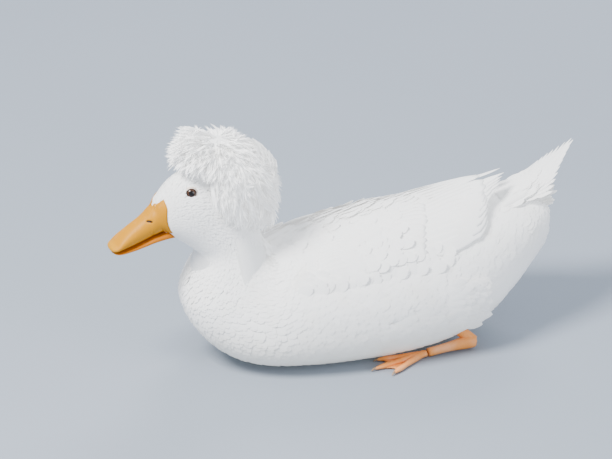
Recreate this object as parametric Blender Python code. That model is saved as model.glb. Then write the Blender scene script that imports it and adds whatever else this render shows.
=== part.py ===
"""A white crested duck, life size, at rest on its belly with its feet tucked under.

Metres, +Z up. The bill points to -Y and the duck's left side is +X. The origin is on the floor.
"""

import math
import random

import bmesh
import bpy
import numpy as np
from mathutils import Matrix, Vector
from mathutils.bvhtree import BVHTree

# Driving sizes of the body. Each row is one cross-section, from the rump to the bill:
# back line y and z, belly line y and z, half width, how far up its widest level is, and how
# square its upper half is (2 is an ellipse).
SECTIONS = (
    (0.2270, 0.1120, 0.2270, 0.1120, 0.0000, 0.50, 2.2),
    (0.2225, 0.1345, 0.2210, 0.0880, 0.0290, 0.50, 2.2),
    (0.2070, 0.1415, 0.1990, 0.0650, 0.0450, 0.50, 2.2),
    (0.1800, 0.1430, 0.1710, 0.0400, 0.0620, 0.48, 2.2),
    (0.1430, 0.1425, 0.1380, 0.0175, 0.0780, 0.46, 2.2),
    (0.1000, 0.1395, 0.0980, 0.0045, 0.0900, 0.45, 2.2),
    (0.0500, 0.1350, 0.0500, -0.0020, 0.0940, 0.45, 2.2),
    (0.0000, 0.1295, 0.0000, -0.0030, 0.0935, 0.45, 2.2),
    (-0.0450, 0.1265, -0.0520, -0.0020, 0.0890, 0.45, 2.2),
    (-0.0700, 0.1245, -0.1030, 0.0030, 0.0800, 0.46, 2.2),
    (-0.0805, 0.1222, -0.1390, 0.0180, 0.0690, 0.48, 2.2),
    (-0.0845, 0.1215, -0.1650, 0.0460, 0.0580, 0.50, 2.1),
    (-0.0862, 0.1228, -0.1755, 0.0775, 0.0490, 0.50, 2.1),
    (-0.0875, 0.1275, -0.1690, 0.1030, 0.0415, 0.50, 2.0),
    (-0.0890, 0.1355, -0.1610, 0.1180, 0.0365, 0.50, 2.0),
    (-0.0920, 0.1470, -0.1590, 0.1265, 0.0335, 0.50, 2.0),
    (-0.0990, 0.1650, -0.1610, 0.1315, 0.0320, 0.48, 2.0),
    (-0.1080, 0.1870, -0.1665, 0.1365, 0.0312, 0.46, 1.9),
    (-0.1220, 0.2100, -0.1730, 0.1420, 0.0305, 0.44, 1.9),
    (-0.1430, 0.2245, -0.1800, 0.1475, 0.0295, 0.42, 1.8),
    (-0.1660, 0.2265, -0.1865, 0.1525, 0.0275, 0.42, 1.75),
    (-0.1850, 0.2190, -0.1930, 0.1570, 0.0240, 0.44, 1.8),
    (-0.1985, 0.2060, -0.1990, 0.1615, 0.0190, 0.46, 1.9),
    (-0.2080, 0.1930, -0.2050, 0.1660, 0.0130, 0.50, 2.0),
    (-0.2105, 0.1790, -0.2105, 0.1790, 0.0000, 0.50, 2.0),
)
STEPS_BETWEEN = 2
AROUND = 24
SQUARENESS_BELLY = 2.5
NECK_BASE_SECTION = 13.0
HEAD_BASE_SECTION = 17.0
GAP = 0.0003

EYE_CENTRE = Vector((0.0168, -0.1722, 0.2057))
EYE_RADIUS = 0.0066
EYE_OUTWARD = Vector((0.93, -0.20, 0.30)).normalized()
LID_CENTRE = Vector((0.0213, -0.1727, 0.2059))
LID_HALF_LENGTH = 0.0062
LID_HALF_HEIGHT = 0.0050
LID_ROUND = 0.0011
NOSTRIL = Vector((0.0098, -0.2170, 0.1765))
NOSTRIL_SIZE = Vector((0.0030, 0.0034, 0.0012))

BODY_AXIS_HEIGHT = 0.068
# The folded wing's lower and upper edges, as y and the angle up from level about the body's axis.
WING_LOWER_EDGE = (
    (-0.062, 30),
    (0.000, 31),
    (0.066, 35),
    (0.100, 38),
    (0.130, 45),
    (0.148, 55),
    (0.160, 68),
    (0.180, 76),
)
WING_UPPER_EDGE = ((-0.062, 60), (-0.030, 74), (0.020, 82), (0.070, 86.5), (0.110, 87.5), (0.180, 88.0))
WING_PAD_END_Y = 0.118
WING_PAD_THICKNESS = 0.0030
WING_RISE = 0.0235
WING_RISE_END_Y = 0.172
# One row per tier, from the tier that is covered to the one on top: how many vanes, the first
# and last place across the wing, the first and last root y, the lengths, widths and lifts.
WING_TIERS = (
    ("primaries", 3, (0.50, 0.84), (0.098, 0.102), (0.076, 0.078), 0.0120, 0.0004),
    ("secondaries", 5, (0.08, 0.92), (0.052, 0.078), (0.078, 0.076), 0.0200, 0.0018),
    ("greater_coverts", 4, (0.10, 0.86), (0.012, 0.034), (0.058, 0.058), 0.0240, 0.0028),
    ("median_coverts", 4, (0.11, 0.86), (-0.022, 0.000), (0.050, 0.052), 0.0230, 0.0034),
    ("shoulder_feathers", 3, (0.20, 0.76), (-0.054, -0.036), (0.046, 0.050), 0.0240, 0.0034),
)
VANE_THICKNESS = 0.0006

# Each flank feather's angle round the body, the y of its tip, and its width.
FLANK_VANES = ((-1, 0.132, 0.016), (-8, 0.138, 0.016), (-15, 0.134, 0.016))
FLANK_ROOT_Y = 0.078
FLANK_LIFT = 0.0135

TAIL_ROOT = Vector((0.0, 0.178, 0.1430))
TAIL_CURVE = ((0.172, 0.1415), (0.192, 0.1480), (0.224, 0.1610), (0.242, 0.1745), (0.260, 0.1945))
TAIL_BASE_HALF_WIDTH = 0.030
TAIL_BASE_END_Y = 0.212
TAIL_PAIRS = 5
TAIL_STEP = 0.0016
TAIL_VANE_WIDTH = 0.0165
TAIL_OUTER_TIP = Vector((0.0330, 0.2240, 0.1590))
TAIL_INNER_TIP = Vector((0.0030, 0.2590, 0.1930))

CREST_CENTRE = Vector((0.0, -0.128, 0.212))
CREST_HALF_WIDTH = 0.044
# The crest's reach from its centre, by the angle above the forward direction, in degrees.
CREST_REACH = (
    (-90, 0.082),
    (-50, 0.076),
    (0, 0.068),
    (24, 0.0690),
    (50, 0.0730),
    (72, 0.0590),
    (109, 0.0470),
    (136, 0.0440),
    (159, 0.0500),
    (186, 0.0570),
    (212, 0.0680),
    (232, 0.0830),
    (245, 0.0800),
    (270, 0.0820),
)

CREST_CORE_SHARE = 0.48
CREST_WHORL = Vector((0.0, -0.17, 0.985))
CREST_LOCKS = 46
# The locks over the forehead: degrees above the forward direction, and how far to the left.
FRONT_LOCKS = ((36, -0.50), (30, 0.0), (36, 0.50), (60, -0.60), (56, -0.16), (60, 0.20), (60, 0.62), (84, 0.0))
FRONT_BEND = 16
CREST_LOCK_WIDTH = 0.0240
CREST_LOCK_THICKNESS = 0.0009
CREST_SEED = 3

HEEL = Vector((0.0660, 0.1220, 0.0095))
TOE_JOINT = Vector((0.0690, 0.0700, 0.0055))
MIDDLE_TOE_TIP = Vector((0.0820, 0.0070, 0.0030))
INNER_TOE_TIP = Vector((0.0620, 0.0170, 0.0030))
OUTER_TOE_TIP = Vector((0.0980, 0.0230, 0.0030))
TOE_RADIUS = 0.0034

WHITE_PLUMAGE = (0.93, 0.93, 0.91)
BILL_ORANGE = (0.95, 0.52, 0.03)
FOOT_ORANGE = (0.88, 0.38, 0.06)
EYE_BROWN = (0.03, 0.02, 0.018)


def clear_scene():
    for thing in list(bpy.data.objects):
        bpy.data.objects.remove(thing)


def material(name, colour, roughness):
    made = bpy.data.materials.get(name)
    if made is None:
        made = bpy.data.materials.new(name)
        made.use_nodes = True
        shader = made.node_tree.nodes["Principled BSDF"]
        shader.inputs["Base Color"].default_value = (*colour, 1.0)
        shader.inputs["Roughness"].default_value = roughness
        shader.inputs["Metallic"].default_value = 0.0
    return made


def smooth_rows(rows, steps):
    """A smooth curve through the rows, as a closed-form spline, with steps points for each span."""
    rows = np.array(rows, float)
    slopes = np.gradient(rows, axis=0)
    found = []
    for i in range(len(rows) - 1):
        for t in np.arange(steps) / steps:
            found.append(
                rows[i] * (1 + 2 * t) * (1 - t) ** 2
                + slopes[i] * t * (1 - t) ** 2
                + rows[i + 1] * t * t * (3 - 2 * t)
                + slopes[i + 1] * t * t * (t - 1)
            )
    found.append(rows[-1])
    return np.array(found)


def new_mesh(name, points, faces):
    mesh = bpy.data.meshes.new(name)
    mesh.from_pydata([tuple(p) for p in points], [], faces)
    mesh.update()
    thing = bpy.data.objects.new(name, mesh)
    bpy.context.scene.collection.objects.link(thing)
    return thing


def face_outwards(thing):
    mesh = bmesh.new()
    mesh.from_mesh(thing.data)
    bmesh.ops.remove_doubles(mesh, verts=mesh.verts, dist=1e-6)
    bmesh.ops.recalc_face_normals(mesh, faces=mesh.faces)
    if mesh.calc_volume(signed=True) < 0:
        bmesh.ops.reverse_faces(mesh, faces=mesh.faces)
    mesh.to_mesh(thing.data)
    mesh.free()
    return thing


def lofted(name, rings):
    """A closed skin over rings of equal length. A ring whose points are all alike becomes a pole."""
    around = len(rings[0])
    points = [p for ring in rings for p in ring]
    faces = []
    for i in range(len(rings) - 1):
        for j in range(around):
            k = (j + 1) % around
            faces.append((i * around + j, i * around + k, (i + 1) * around + k, (i + 1) * around + j))
    faces.append(tuple(range(around)))
    faces.append(tuple((len(rings) - 1) * around + j for j in range(around)))
    thing = new_mesh(name, points, faces)
    mesh = bmesh.new()
    mesh.from_mesh(thing.data)
    bmesh.ops.remove_doubles(mesh, verts=mesh.verts, dist=1e-6)
    bmesh.ops.dissolve_degenerate(mesh, dist=1e-7, edges=mesh.edges)
    mesh.to_mesh(thing.data)
    mesh.free()
    return face_outwards(thing)


def sheet_solid(name, top, bottom):
    """A closed plate between two grids of points, with both faces cut into triangles alike."""
    rows, columns = len(top), len(top[0])
    points = [p for row in top for p in row] + [p for row in bottom for p in row]
    shift = rows * columns
    faces = []

    def at(i, j):
        return i * columns + j

    for i in range(rows - 1):
        for j in range(columns - 1):
            a, b, c, d = at(i, j), at(i, j + 1), at(i + 1, j + 1), at(i + 1, j)
            if j < (columns - 1) / 2:
                halves = ((a, b, c), (a, c, d))
            else:
                halves = ((a, b, d), (b, c, d))
            for half in halves:
                faces.append(half)
                faces.append(tuple(v + shift for v in reversed(half)))
    rim = [at(0, j) for j in range(columns)]
    rim += [at(i, columns - 1) for i in range(1, rows)]
    rim += [at(rows - 1, j) for j in range(columns - 2, -1, -1)]
    rim += [at(i, 0) for i in range(rows - 2, 0, -1)]
    for a, b in zip(rim, rim[1:] + rim[:1]):
        faces.append((b, a, a + shift))
        faces.append((b, a + shift, b + shift))
    return face_outwards(new_mesh(name, points, faces))


def ball(name, centre, radius, stretch=(1, 1, 1), segments=16):
    mesh = bmesh.new()
    bmesh.ops.create_uvsphere(mesh, u_segments=segments, v_segments=segments // 2, radius=radius)
    bmesh.ops.scale(mesh, vec=stretch, verts=mesh.verts)
    bmesh.ops.translate(mesh, vec=centre, verts=mesh.verts)
    thing = new_mesh(name, [], [])
    mesh.to_mesh(thing.data)
    mesh.free()
    return thing


def lid_ring():
    """The rim of both eyelids round the left eye, longer than it is tall."""
    along = EYE_OUTWARD.cross(Vector((0, 0, 1))).normalized()
    above = along.cross(EYE_OUTWARD).normalized()
    if above.z < 0:
        above = -above
    points, faces = [], []
    around, sides = 14, 5
    for i in range(around):
        turn = 2 * math.pi * i / around
        spoke = along * math.cos(turn) * LID_HALF_LENGTH + above * math.sin(turn) * LID_HALF_HEIGHT
        for j in range(sides):
            roll = 2 * math.pi * j / sides
            point = LID_CENTRE + spoke + spoke.normalized() * math.cos(roll) * LID_ROUND
            points.append(point + EYE_OUTWARD * math.sin(roll) * LID_ROUND)
            k, m = (i + 1) % around, (j + 1) % sides
            faces.append((i * sides + j, k * sides + j, k * sides + m, i * sides + m))
    return face_outwards(new_mesh("lid_left", points, faces))


def tube(name, points, radii, sides=8, flat=1.0):
    """A round bar through the points, with its own radius at each, closed by a point at either end."""
    points = [Vector(p) for p in points]
    rings = []
    for i, point in enumerate(points):
        ahead = points[min(i + 1, len(points) - 1)] - points[max(i - 1, 0)]
        across = ahead.cross(Vector((0, 0, 1))).normalized()
        above = across.cross(ahead).normalized()
        ring = []
        for k in range(sides):
            angle = 2 * math.pi * k / sides
            side = across * math.cos(angle) * radii[i]
            lift = above * math.sin(angle) * radii[i] * flat
            ring.append(point + side + lift)
        rings.append(ring)
    return lofted(name, rings)


def apply_modifiers(thing):
    graph = bpy.context.evaluated_depsgraph_get()
    mesh = bpy.data.meshes.new_from_object(thing.evaluated_get(graph))
    thing.modifiers.clear()
    thing.data = mesh
    return thing


def keep_largest(thing):
    """Keeps the closed surface with the most volume, which fills a sealed hollow and drops a scrap."""
    mesh = bmesh.new()
    mesh.from_mesh(thing.data)
    left = set(mesh.faces)
    surfaces = []
    while left:
        found = {left.pop()}
        edge_of_found = list(found)
        while edge_of_found:
            face = edge_of_found.pop()
            for edge in face.edges:
                for other in edge.link_faces:
                    if other in left:
                        left.remove(other)
                        found.add(other)
                        edge_of_found.append(other)
        surfaces.append(found)

    def volume(faces):
        total = 0.0
        for face in faces:
            corners = [v.co for v in face.verts]
            for i in range(1, len(corners) - 1):
                total += corners[0].dot(corners[i].cross(corners[i + 1]))
        return total

    best = max(surfaces, key=volume)
    bmesh.ops.delete(mesh, geom=[f for f in mesh.faces if f not in best], context="FACES")
    mesh.to_mesh(thing.data)
    mesh.free()
    return thing


def cut(thing, cutter, solver="EXACT"):
    modifier = thing.modifiers.new("cut", "BOOLEAN")
    modifier.operation = "DIFFERENCE"
    modifier.object = cutter
    modifier.solver = solver
    apply_modifiers(thing)
    return keep_largest(thing)


def joined(name, pieces, solver="EXACT"):
    """All the closed pieces as one solid."""
    first = pieces[0]
    first.name = name
    if len(pieces) > 1:
        group = bpy.data.collections.new(name + "_pieces")
        bpy.context.scene.collection.children.link(group)
        for piece in pieces[1:]:
            bpy.context.scene.collection.objects.unlink(piece)
            group.objects.link(piece)
        modifier = first.modifiers.new("join", "BOOLEAN")
        modifier.operation = "UNION"
        modifier.operand_type = "COLLECTION"
        modifier.collection = group
        modifier.solver = solver
        apply_modifiers(first)
        for piece in pieces[1:]:
            bpy.data.objects.remove(piece)
        bpy.data.collections.remove(group)
    return keep_largest(first)


def grown(thing, by):
    """A copy with every point moved out along its normal, used as a cutter that leaves a gap."""
    copy = thing.copy()
    copy.data = thing.data.copy()
    bpy.context.scene.collection.objects.link(copy)
    mesh = bmesh.new()
    mesh.from_mesh(copy.data)
    mesh.normal_update()
    moves = [v.normal.copy() for v in mesh.verts]
    for vertex, move in zip(mesh.verts, moves):
        vertex.co += move * by
    mesh.to_mesh(copy.data)
    mesh.free()
    copy.hide_render = True
    copy.display_type = "WIRE"
    copy.name = thing.name + "_room"
    return copy


def split_by_plane(thing, point, normal, name):
    """The side of the plane that its normal points away from, as a new closed object."""
    copy = thing.copy()
    copy.data = thing.data.copy()
    copy.name = name
    bpy.context.scene.collection.objects.link(copy)
    mesh = bmesh.new()
    mesh.from_mesh(copy.data)
    everything = list(mesh.verts) + list(mesh.edges) + list(mesh.faces)
    bmesh.ops.bisect_plane(
        mesh, geom=everything, plane_co=point, plane_no=normal, clear_outer=True, dist=1e-7
    )
    rim = [e for e in mesh.edges if e.is_boundary]
    bmesh.ops.contextual_create(mesh, geom=rim)
    bmesh.ops.recalc_face_normals(mesh, faces=mesh.faces)
    mesh.to_mesh(copy.data)
    mesh.free()
    return copy


def mirrored(thing, name):
    copy = thing.copy()
    copy.data = thing.data.copy()
    copy.name = name
    bpy.context.scene.collection.objects.link(copy)
    copy.data.transform(Matrix.Scale(-1, 4, (1, 0, 0)))
    copy.data.flip_normals()
    return copy


def paint(thing, finish):
    thing.data.materials.clear()
    thing.data.materials.append(finish)
    thing.data.shade_smooth()
    thing.data.set_sharp_from_angle(angle=math.radians(40))
    return thing


def power(value, exponent):
    return math.copysign(abs(value) ** exponent, value)


def section_ring(row, around):
    """One cross-section of the body: flatter under the belly than over the back."""
    back, belly = Vector((0, row[0], row[1])), Vector((0, row[2], row[3]))
    middle = belly.lerp(back, row[5])
    ring = []
    for k in range(around):
        angle = 2 * math.pi * k / around
        squareness = row[6] if math.sin(angle) >= 0 else SQUARENESS_BELLY
        side = row[4] * power(math.cos(angle), 2 / squareness)
        height = abs(power(math.sin(angle), 2 / squareness))
        end = back if math.sin(angle) >= 0 else belly
        ring.append(middle + (end - middle) * height + Vector((side, 0, 0)))
    return ring


def make_flesh():
    """Rump, body, neck and head in one skin, cut flat where the belly rests on the floor."""
    rows = smooth_rows(SECTIONS, STEPS_BETWEEN)
    whole = lofted("flesh", [section_ring(row, AROUND) for row in rows])
    resting = split_by_plane(whole, (0, 0, 0), (0, 0, -1), "flesh_on_floor")
    bpy.data.objects.remove(whole)
    return resting


def section_plane(index):
    """A point on the section at that place in the table, and the direction towards the bill."""
    rows = smooth_rows(SECTIONS, STEPS_BETWEEN)
    row = rows[round(index * STEPS_BETWEEN)]
    back, belly = Vector((0, row[0], row[1])), Vector((0, row[2], row[3]))
    ahead = (back - belly).cross(Vector((1, 0, 0))).normalized()
    following = rows[round(index * STEPS_BETWEEN) + 1]
    onward = Vector((0, following[0] + following[2], following[1] + following[3])) / 2 - (back + belly) / 2
    if ahead.dot(onward) < 0:
        ahead = -ahead
    return (back + belly) / 2, ahead


def part_flesh(flesh):
    neck_point, neck_ahead = section_plane(NECK_BASE_SECTION)
    head_point, head_ahead = section_plane(HEAD_BASE_SECTION)
    torso = split_by_plane(flesh, neck_point, neck_ahead, "torso")
    front = split_by_plane(flesh, neck_point + neck_ahead * GAP, -neck_ahead, "front")
    neck = split_by_plane(front, head_point, head_ahead, "neck")
    head = split_by_plane(front, head_point + head_ahead * GAP, -head_ahead, "head")
    bpy.data.objects.remove(front)
    return torso, neck, head


class BodySurface:
    """Places on the body's skin, by distance along the body and angle up from level, in degrees."""

    def __init__(self, flesh):
        mesh = bmesh.new()
        mesh.from_mesh(flesh.data)
        self.tree = BVHTree.FromBMesh(mesh)
        mesh.free()

    def at(self, y, angle, lift):
        turn = math.radians(angle)
        out = Vector((math.cos(turn), 0, math.sin(turn)))
        start = Vector((0, y, BODY_AXIS_HEIGHT)) + out * 0.4
        place, normal, _, _ = self.tree.ray_cast(start, -out)
        normal = Vector((normal.x, normal.y, normal.z))
        return place + (out * 0.7 + normal * 0.3).normalized() * lift


def between(table, y):
    places, values = zip(*table)
    return float(np.interp(y, places, values))


def wing_place(body, y, across, lift):
    """A place over the folded wing: across runs from its lower edge, 0, to its upper edge, 1."""
    low, high = between(WING_LOWER_EDGE, y), between(WING_UPPER_EDGE, y)
    rise = WING_RISE * max(0.0, y / WING_RISE_END_Y) ** 2.2 * (0.15 + 0.85 * across)
    swell = WING_PAD_THICKNESS * math.sin(math.pi * (0.08 + 0.84 * across))
    return body.at(y, low + (high - low) * across, 0.0010 + swell + rise + lift)


def vane(name, places, outs, width, thickness, shape, tilt=0.0, crown=0.06):
    """A thin feather blade over the places, whose faces look along outs. Shape is its width there."""
    top, bottom = [], []
    for i, (place, out) in enumerate(zip(places, outs)):
        ahead = places[min(i + 1, len(places) - 1)] - places[max(i - 1, 0)]
        side = out.cross(ahead).normalized()
        out = ahead.cross(side).normalized()
        side = Matrix.Rotation(tilt, 3, ahead.normalized()) @ side
        half = width / 2 * shape[i]
        depth = thickness * (1 - 0.4 * i / (len(places) - 1))
        top_row, bottom_row = [], []
        for across in (-1, 0, 1):
            point = place + side * half * across - out * crown * half * across * across
            top_row.append(point + out * depth / 2)
            bottom_row.append(point - out * depth / 2)
        top.append(top_row)
        bottom.append(bottom_row)
    return sheet_solid(name, top, bottom)


def wing_pad(body):
    """The closed wing's own flesh, which the vanes root in."""
    rows, columns = 12, 6
    top, bottom = [], []
    for i in range(rows):
        y = WING_LOWER_EDGE[0][0] + (WING_PAD_END_Y - WING_LOWER_EDGE[0][0]) * i / (rows - 1)
        front = min(1.0, 0.15 + i / 3)
        top_row, bottom_row = [], []
        for j in range(columns):
            across = j / (columns - 1)
            low, high = between(WING_LOWER_EDGE, y), between(WING_UPPER_EDGE, y)
            angle = low + (high - low) * across
            under = body.at(y, angle, -0.002)
            top_row.append(under.lerp(wing_place(body, y, across, 0.0), front))
            bottom_row.append(under)
        top.append(top_row)
        bottom.append(bottom_row)
    return sheet_solid("wing_pad", top, bottom)


def make_wing(body):
    pieces = [wing_pad(body)]
    steps = (0.0, 0.28, 0.60, 0.86, 1.0)
    shape = (0.50, 0.92, 1.00, 0.74, 0.22)
    for tier, (_, count, across_span, root_span, length_span, width, lift) in enumerate(WING_TIERS):
        for k in range(count):
            share = k / (count - 1)
            across = across_span[0] + (across_span[1] - across_span[0]) * share
            root_y = root_span[0] + (root_span[1] - root_span[0]) * share
            length = length_span[0] + (length_span[1] - length_span[0]) * share
            places, outs = [], []
            for t in steps:
                y = root_y + length * t
                sunk = -0.0016 * (1 - t) ** 3
                level = sunk + lift * (0.35 + 0.65 * t) * min(1.0, t / 0.28)
                place = wing_place(body, y, across, level)
                outs.append((wing_place(body, y, across, level + 0.002) - place).normalized())
                places.append(place)
            pieces.append(vane("vane", places, outs, width, VANE_THICKNESS, shape, tilt=0.11))
    return joined("wing_left", pieces)


def flank_vanes(body):
    """The last long feathers of the left flank, which stand off in a ragged tuft."""
    pieces = []
    for angle, end_y, width in FLANK_VANES:
        places, outs = [], []
        for t in (0.0, 0.40, 0.78, 1.0):
            y = FLANK_ROOT_Y + (end_y - FLANK_ROOT_Y) * t
            lift = -0.0016 + FLANK_LIFT * t ** 1.6
            place = body.at(y, angle, lift)
            outs.append((body.at(y, angle, lift + 0.002) - place).normalized())
            places.append(place)
        pieces.append(vane("flank_vane", places, outs, width, 0.0010, (0.50, 1.00, 0.75, 0.15)))
    return pieces


def tail_base():
    """The stump that the tail's vanes root in."""
    rows, columns = 5, 5
    top, bottom = [], []
    for i in range(rows):
        along = i / (rows - 1)
        y = TAIL_ROOT.y + (TAIL_BASE_END_Y - TAIL_ROOT.y) * along
        half = TAIL_BASE_HALF_WIDTH * (1 - 0.25 * along)
        top_row, bottom_row = [], []
        for j in range(columns):
            across = 2 * j / (columns - 1) - 1
            z = between(TAIL_CURVE, y) - 0.004 * across * across
            thick = 0.014 * (1 - along) * (1 - 0.5 * abs(across)) + 0.0035
            top_row.append(Vector((across * half, y, z + 0.0016 * (1 - along))))
            bottom_row.append(Vector((across * half, y, z - thick)))
        top.append(top_row)
        bottom.append(bottom_row)
    return sheet_solid("tail_base", top, bottom)


def tail_path(side, k, root_y, tip, drop):
    """The quill line of one tail vane, with the direction its face looks."""
    places, outs = [], []
    root = Vector((side * (0.0015 + 0.0024 * k), root_y, 0.0))
    for t in (0.0, 0.30, 0.62, 0.88, 1.0):
        y = root.y + (tip.y - root.y) * t
        x = root.x + (side * tip.x - root.x) * t
        height = between(TAIL_CURVE, y)
        flat = between(TAIL_CURVE, tip.y)
        z = height + (tip.z - flat) * t * t - drop
        places.append(Vector((x, y, z)))
        outs.append(Vector((side * 0.10 * k / TAIL_PAIRS, -0.35 - 0.3 * t, 1.0)).normalized())
    return places, outs


def make_tail():
    """Pointed tail vanes, the middle one on top, and short coverts over their roots."""
    pieces = [tail_base()]
    shape = (0.55, 0.95, 1.00, 0.62, 0.10)
    for k in range(TAIL_PAIRS):
        share = k / (TAIL_PAIRS - 1)
        tip = TAIL_INNER_TIP.lerp(TAIL_OUTER_TIP, share)
        tip.y -= 0.003 * math.sin(math.pi * share)
        for side in (1, -1) if k else (1,):
            drop = TAIL_STEP * k + (TAIL_STEP / 2 if side < 0 else 0.0)
            places, outs = tail_path(side * min(k, 1), k, 0.190 - 0.0006 * k, tip, drop)
            tilt = side * 0.10 * min(k, 1)
            pieces.append(vane("vane", places, outs, TAIL_VANE_WIDTH, VANE_THICKNESS, shape, tilt=tilt))
    for k in range(3):
        for side in (1, -1) if k else (1,):
            tip = Vector((0.010 * k, 0.223 - 0.006 * k, 0.0))
            tip.z = between(TAIL_CURVE, tip.y)
            places, outs = tail_path(side * min(k, 1), 2.5 * k, 0.183, tip, -0.0026 + 0.0022 * k)
            pieces.append(vane("covert", places, outs, 0.0160, VANE_THICKNESS, shape, tilt=side * 0.10))
    return joined("tail", pieces)


def crest_reach(direction):
    """How far the crest reaches from its centre in a direction."""
    along = math.hypot(direction.y, direction.z)
    turn = math.degrees(math.atan2(direction.z, -direction.y))
    if turn < -90:
        turn += 360
    angles, reaches = zip(*CREST_REACH)
    reach = float(np.interp(turn, angles, reaches))
    return 1 / math.hypot(direction.x / CREST_HALF_WIDTH, along / reach)


def on_face_or_neck(place, crown, back, neck):
    """Whether a place is in front of or below the part of the head that the crest covers."""
    return place.z < neck or (place.y < back and place.z < crown)


def crest_core(body):
    """A low cap over the crown and nape that the locks root in, at most half way to their tips."""
    core = ball("crest_core", (0, 0, 0), 1.0, segments=18)
    for vertex in core.data.vertices:
        direction = vertex.co.normalized()
        place, _, _, _ = body.tree.ray_cast(CREST_CENTRE, direction)
        skin = (place - CREST_CENTRE).length
        reach = max(skin + 0.0022, crest_reach(direction) * CREST_CORE_SHARE)
        if on_face_or_neck(place, 0.2225, -0.1480, 0.176):
            reach = min(skin - 0.004, 0.030)
        vertex.co = CREST_CENTRE + direction * reach
    return core


def crest_lock(direction, layer, sway, bend):
    """One flat tapered lock: it leaves the core steeply, then bends over along the crest's lie."""
    axis = CREST_WHORL.cross(direction).normalized()
    axis = (axis + sway).normalized()
    places, outs = [], []
    for t in (0.0, 0.25, 0.52, 0.80, 1.0):
        way = Matrix.Rotation(bend * (t ** 1.25 - 0.45), 3, axis) @ direction
        share = CREST_CORE_SHARE - 0.10 + (layer - CREST_CORE_SHARE + 0.10) * (1 - (1 - t) ** 2.1)
        places.append(CREST_CENTRE + way * crest_reach(way) * share)
        outs.append(way)
    shape = (0.30, 0.80, 1.00, 0.64, 0.08)
    return vane("lock", places, outs, CREST_LOCK_WIDTH, CREST_LOCK_THICKNESS, shape, tilt=0.20, crown=0.12)


def make_crest(body):
    """The pompom: locks spread evenly over the crown and nape, in three depths that overlap."""
    chance = random.Random(CREST_SEED)
    pieces = [crest_core(body)]
    for k in range(CREST_LOCKS):
        up = 1 - 2 * (k + 0.5) / CREST_LOCKS
        around = k * 2.399963
        wide = math.sqrt(1 - up * up)
        direction = Vector((wide * math.cos(around), wide * math.sin(around), up))
        layer = (1.00, 0.92, 0.84)[k % 3]
        sway = Vector([chance.uniform(-0.16, 0.16) for _ in range(3)])
        bend = math.radians(chance.uniform(40, 52))
        tip_way = Matrix.Rotation(bend * 0.55, 3, CREST_WHORL.cross(direction).normalized()) @ direction
        tip = CREST_CENTRE + tip_way * crest_reach(tip_way)
        if not on_face_or_neck(tip, 0.2280, -0.1500, 0.148):
            pieces.append(crest_lock(direction, layer, sway, bend))
    for k, (turn, side) in enumerate(FRONT_LOCKS):
        turn = math.radians(turn)
        direction = Vector((side, -math.cos(turn), math.sin(turn))).normalized()
        pieces.append(crest_lock(direction, (1.04, 1.01)[k % 2], Vector((0, 0, 0)), math.radians(FRONT_BEND)))
    return joined("crest", pieces)


def bill_ring(y, low, high, half, count, squareness):
    ring = []
    middle = (low + high) / 2
    for k in range(count):
        angle = 2 * math.pi * k / count
        side = half * power(math.cos(angle), 2 / squareness)
        up = (high - low) / 2 * power(math.sin(angle), 2 / squareness)
        ring.append(Vector((side, y, middle + up)))
    return ring


def make_bill():
    """Rows are y, lower edge, upper edge and half width, from inside the head to the tip."""
    upper_rows = (
        (-0.1850, 0.1625, 0.1990, 0.0150),
        (-0.1960, 0.1615, 0.1985, 0.0158),
        (-0.2090, 0.1575, 0.1920, 0.0143),
        (-0.2200, 0.1530, 0.1820, 0.0128),
        (-0.2330, 0.1488, 0.1708, 0.0126),
        (-0.2450, 0.1464, 0.1612, 0.0134),
        (-0.2510, 0.1455, 0.1550, 0.0128),
        (-0.2552, 0.1462, 0.1518, 0.0094),
        (-0.2570, 0.1480, 0.1492, 0.0030),
    )
    lower_rows = (
        (-0.1830, 0.1530, 0.1615, 0.0120),
        (-0.1960, 0.1520, 0.1608, 0.0124),
        (-0.2090, 0.1495, 0.1571, 0.0112),
        (-0.2200, 0.1465, 0.1526, 0.0104),
        (-0.2330, 0.1438, 0.1484, 0.0104),
        (-0.2450, 0.1425, 0.1460, 0.0108),
        (-0.2510, 0.1428, 0.1451, 0.0092),
        (-0.2540, 0.1438, 0.1449, 0.0040),
    )
    bills = []
    for name, rows, squareness in (("bill_upper", upper_rows, 2.3), ("bill_lower", lower_rows, 2.6)):
        smooth = smooth_rows(rows, 2)
        bills.append(lofted(name, [bill_ring(*row, 12, squareness) for row in smooth]))
    return bills


def make_leg():
    """The shank, laid on the floor from the heel to the toes, and the stub that enters the belly."""
    shank = tube(
        "leg_left",
        (HEEL + Vector((0, 0.004, 0)), HEEL, HEEL.lerp(TOE_JOINT, 0.5), TOE_JOINT + Vector((0, 0.004, 0))),
        (0.0045, 0.0072, 0.0052, 0.0050),
        sides=10,
    )
    hip = Vector((0.052, 0.086, 0.045))
    stub = tube("stub", (HEEL + Vector((0, 0.001, -0.001)), HEEL.lerp(hip, 0.5), hip), (0.006, 0.0065, 0.0075), sides=10)
    return joined("leg_left", [shank, stub])


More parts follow.
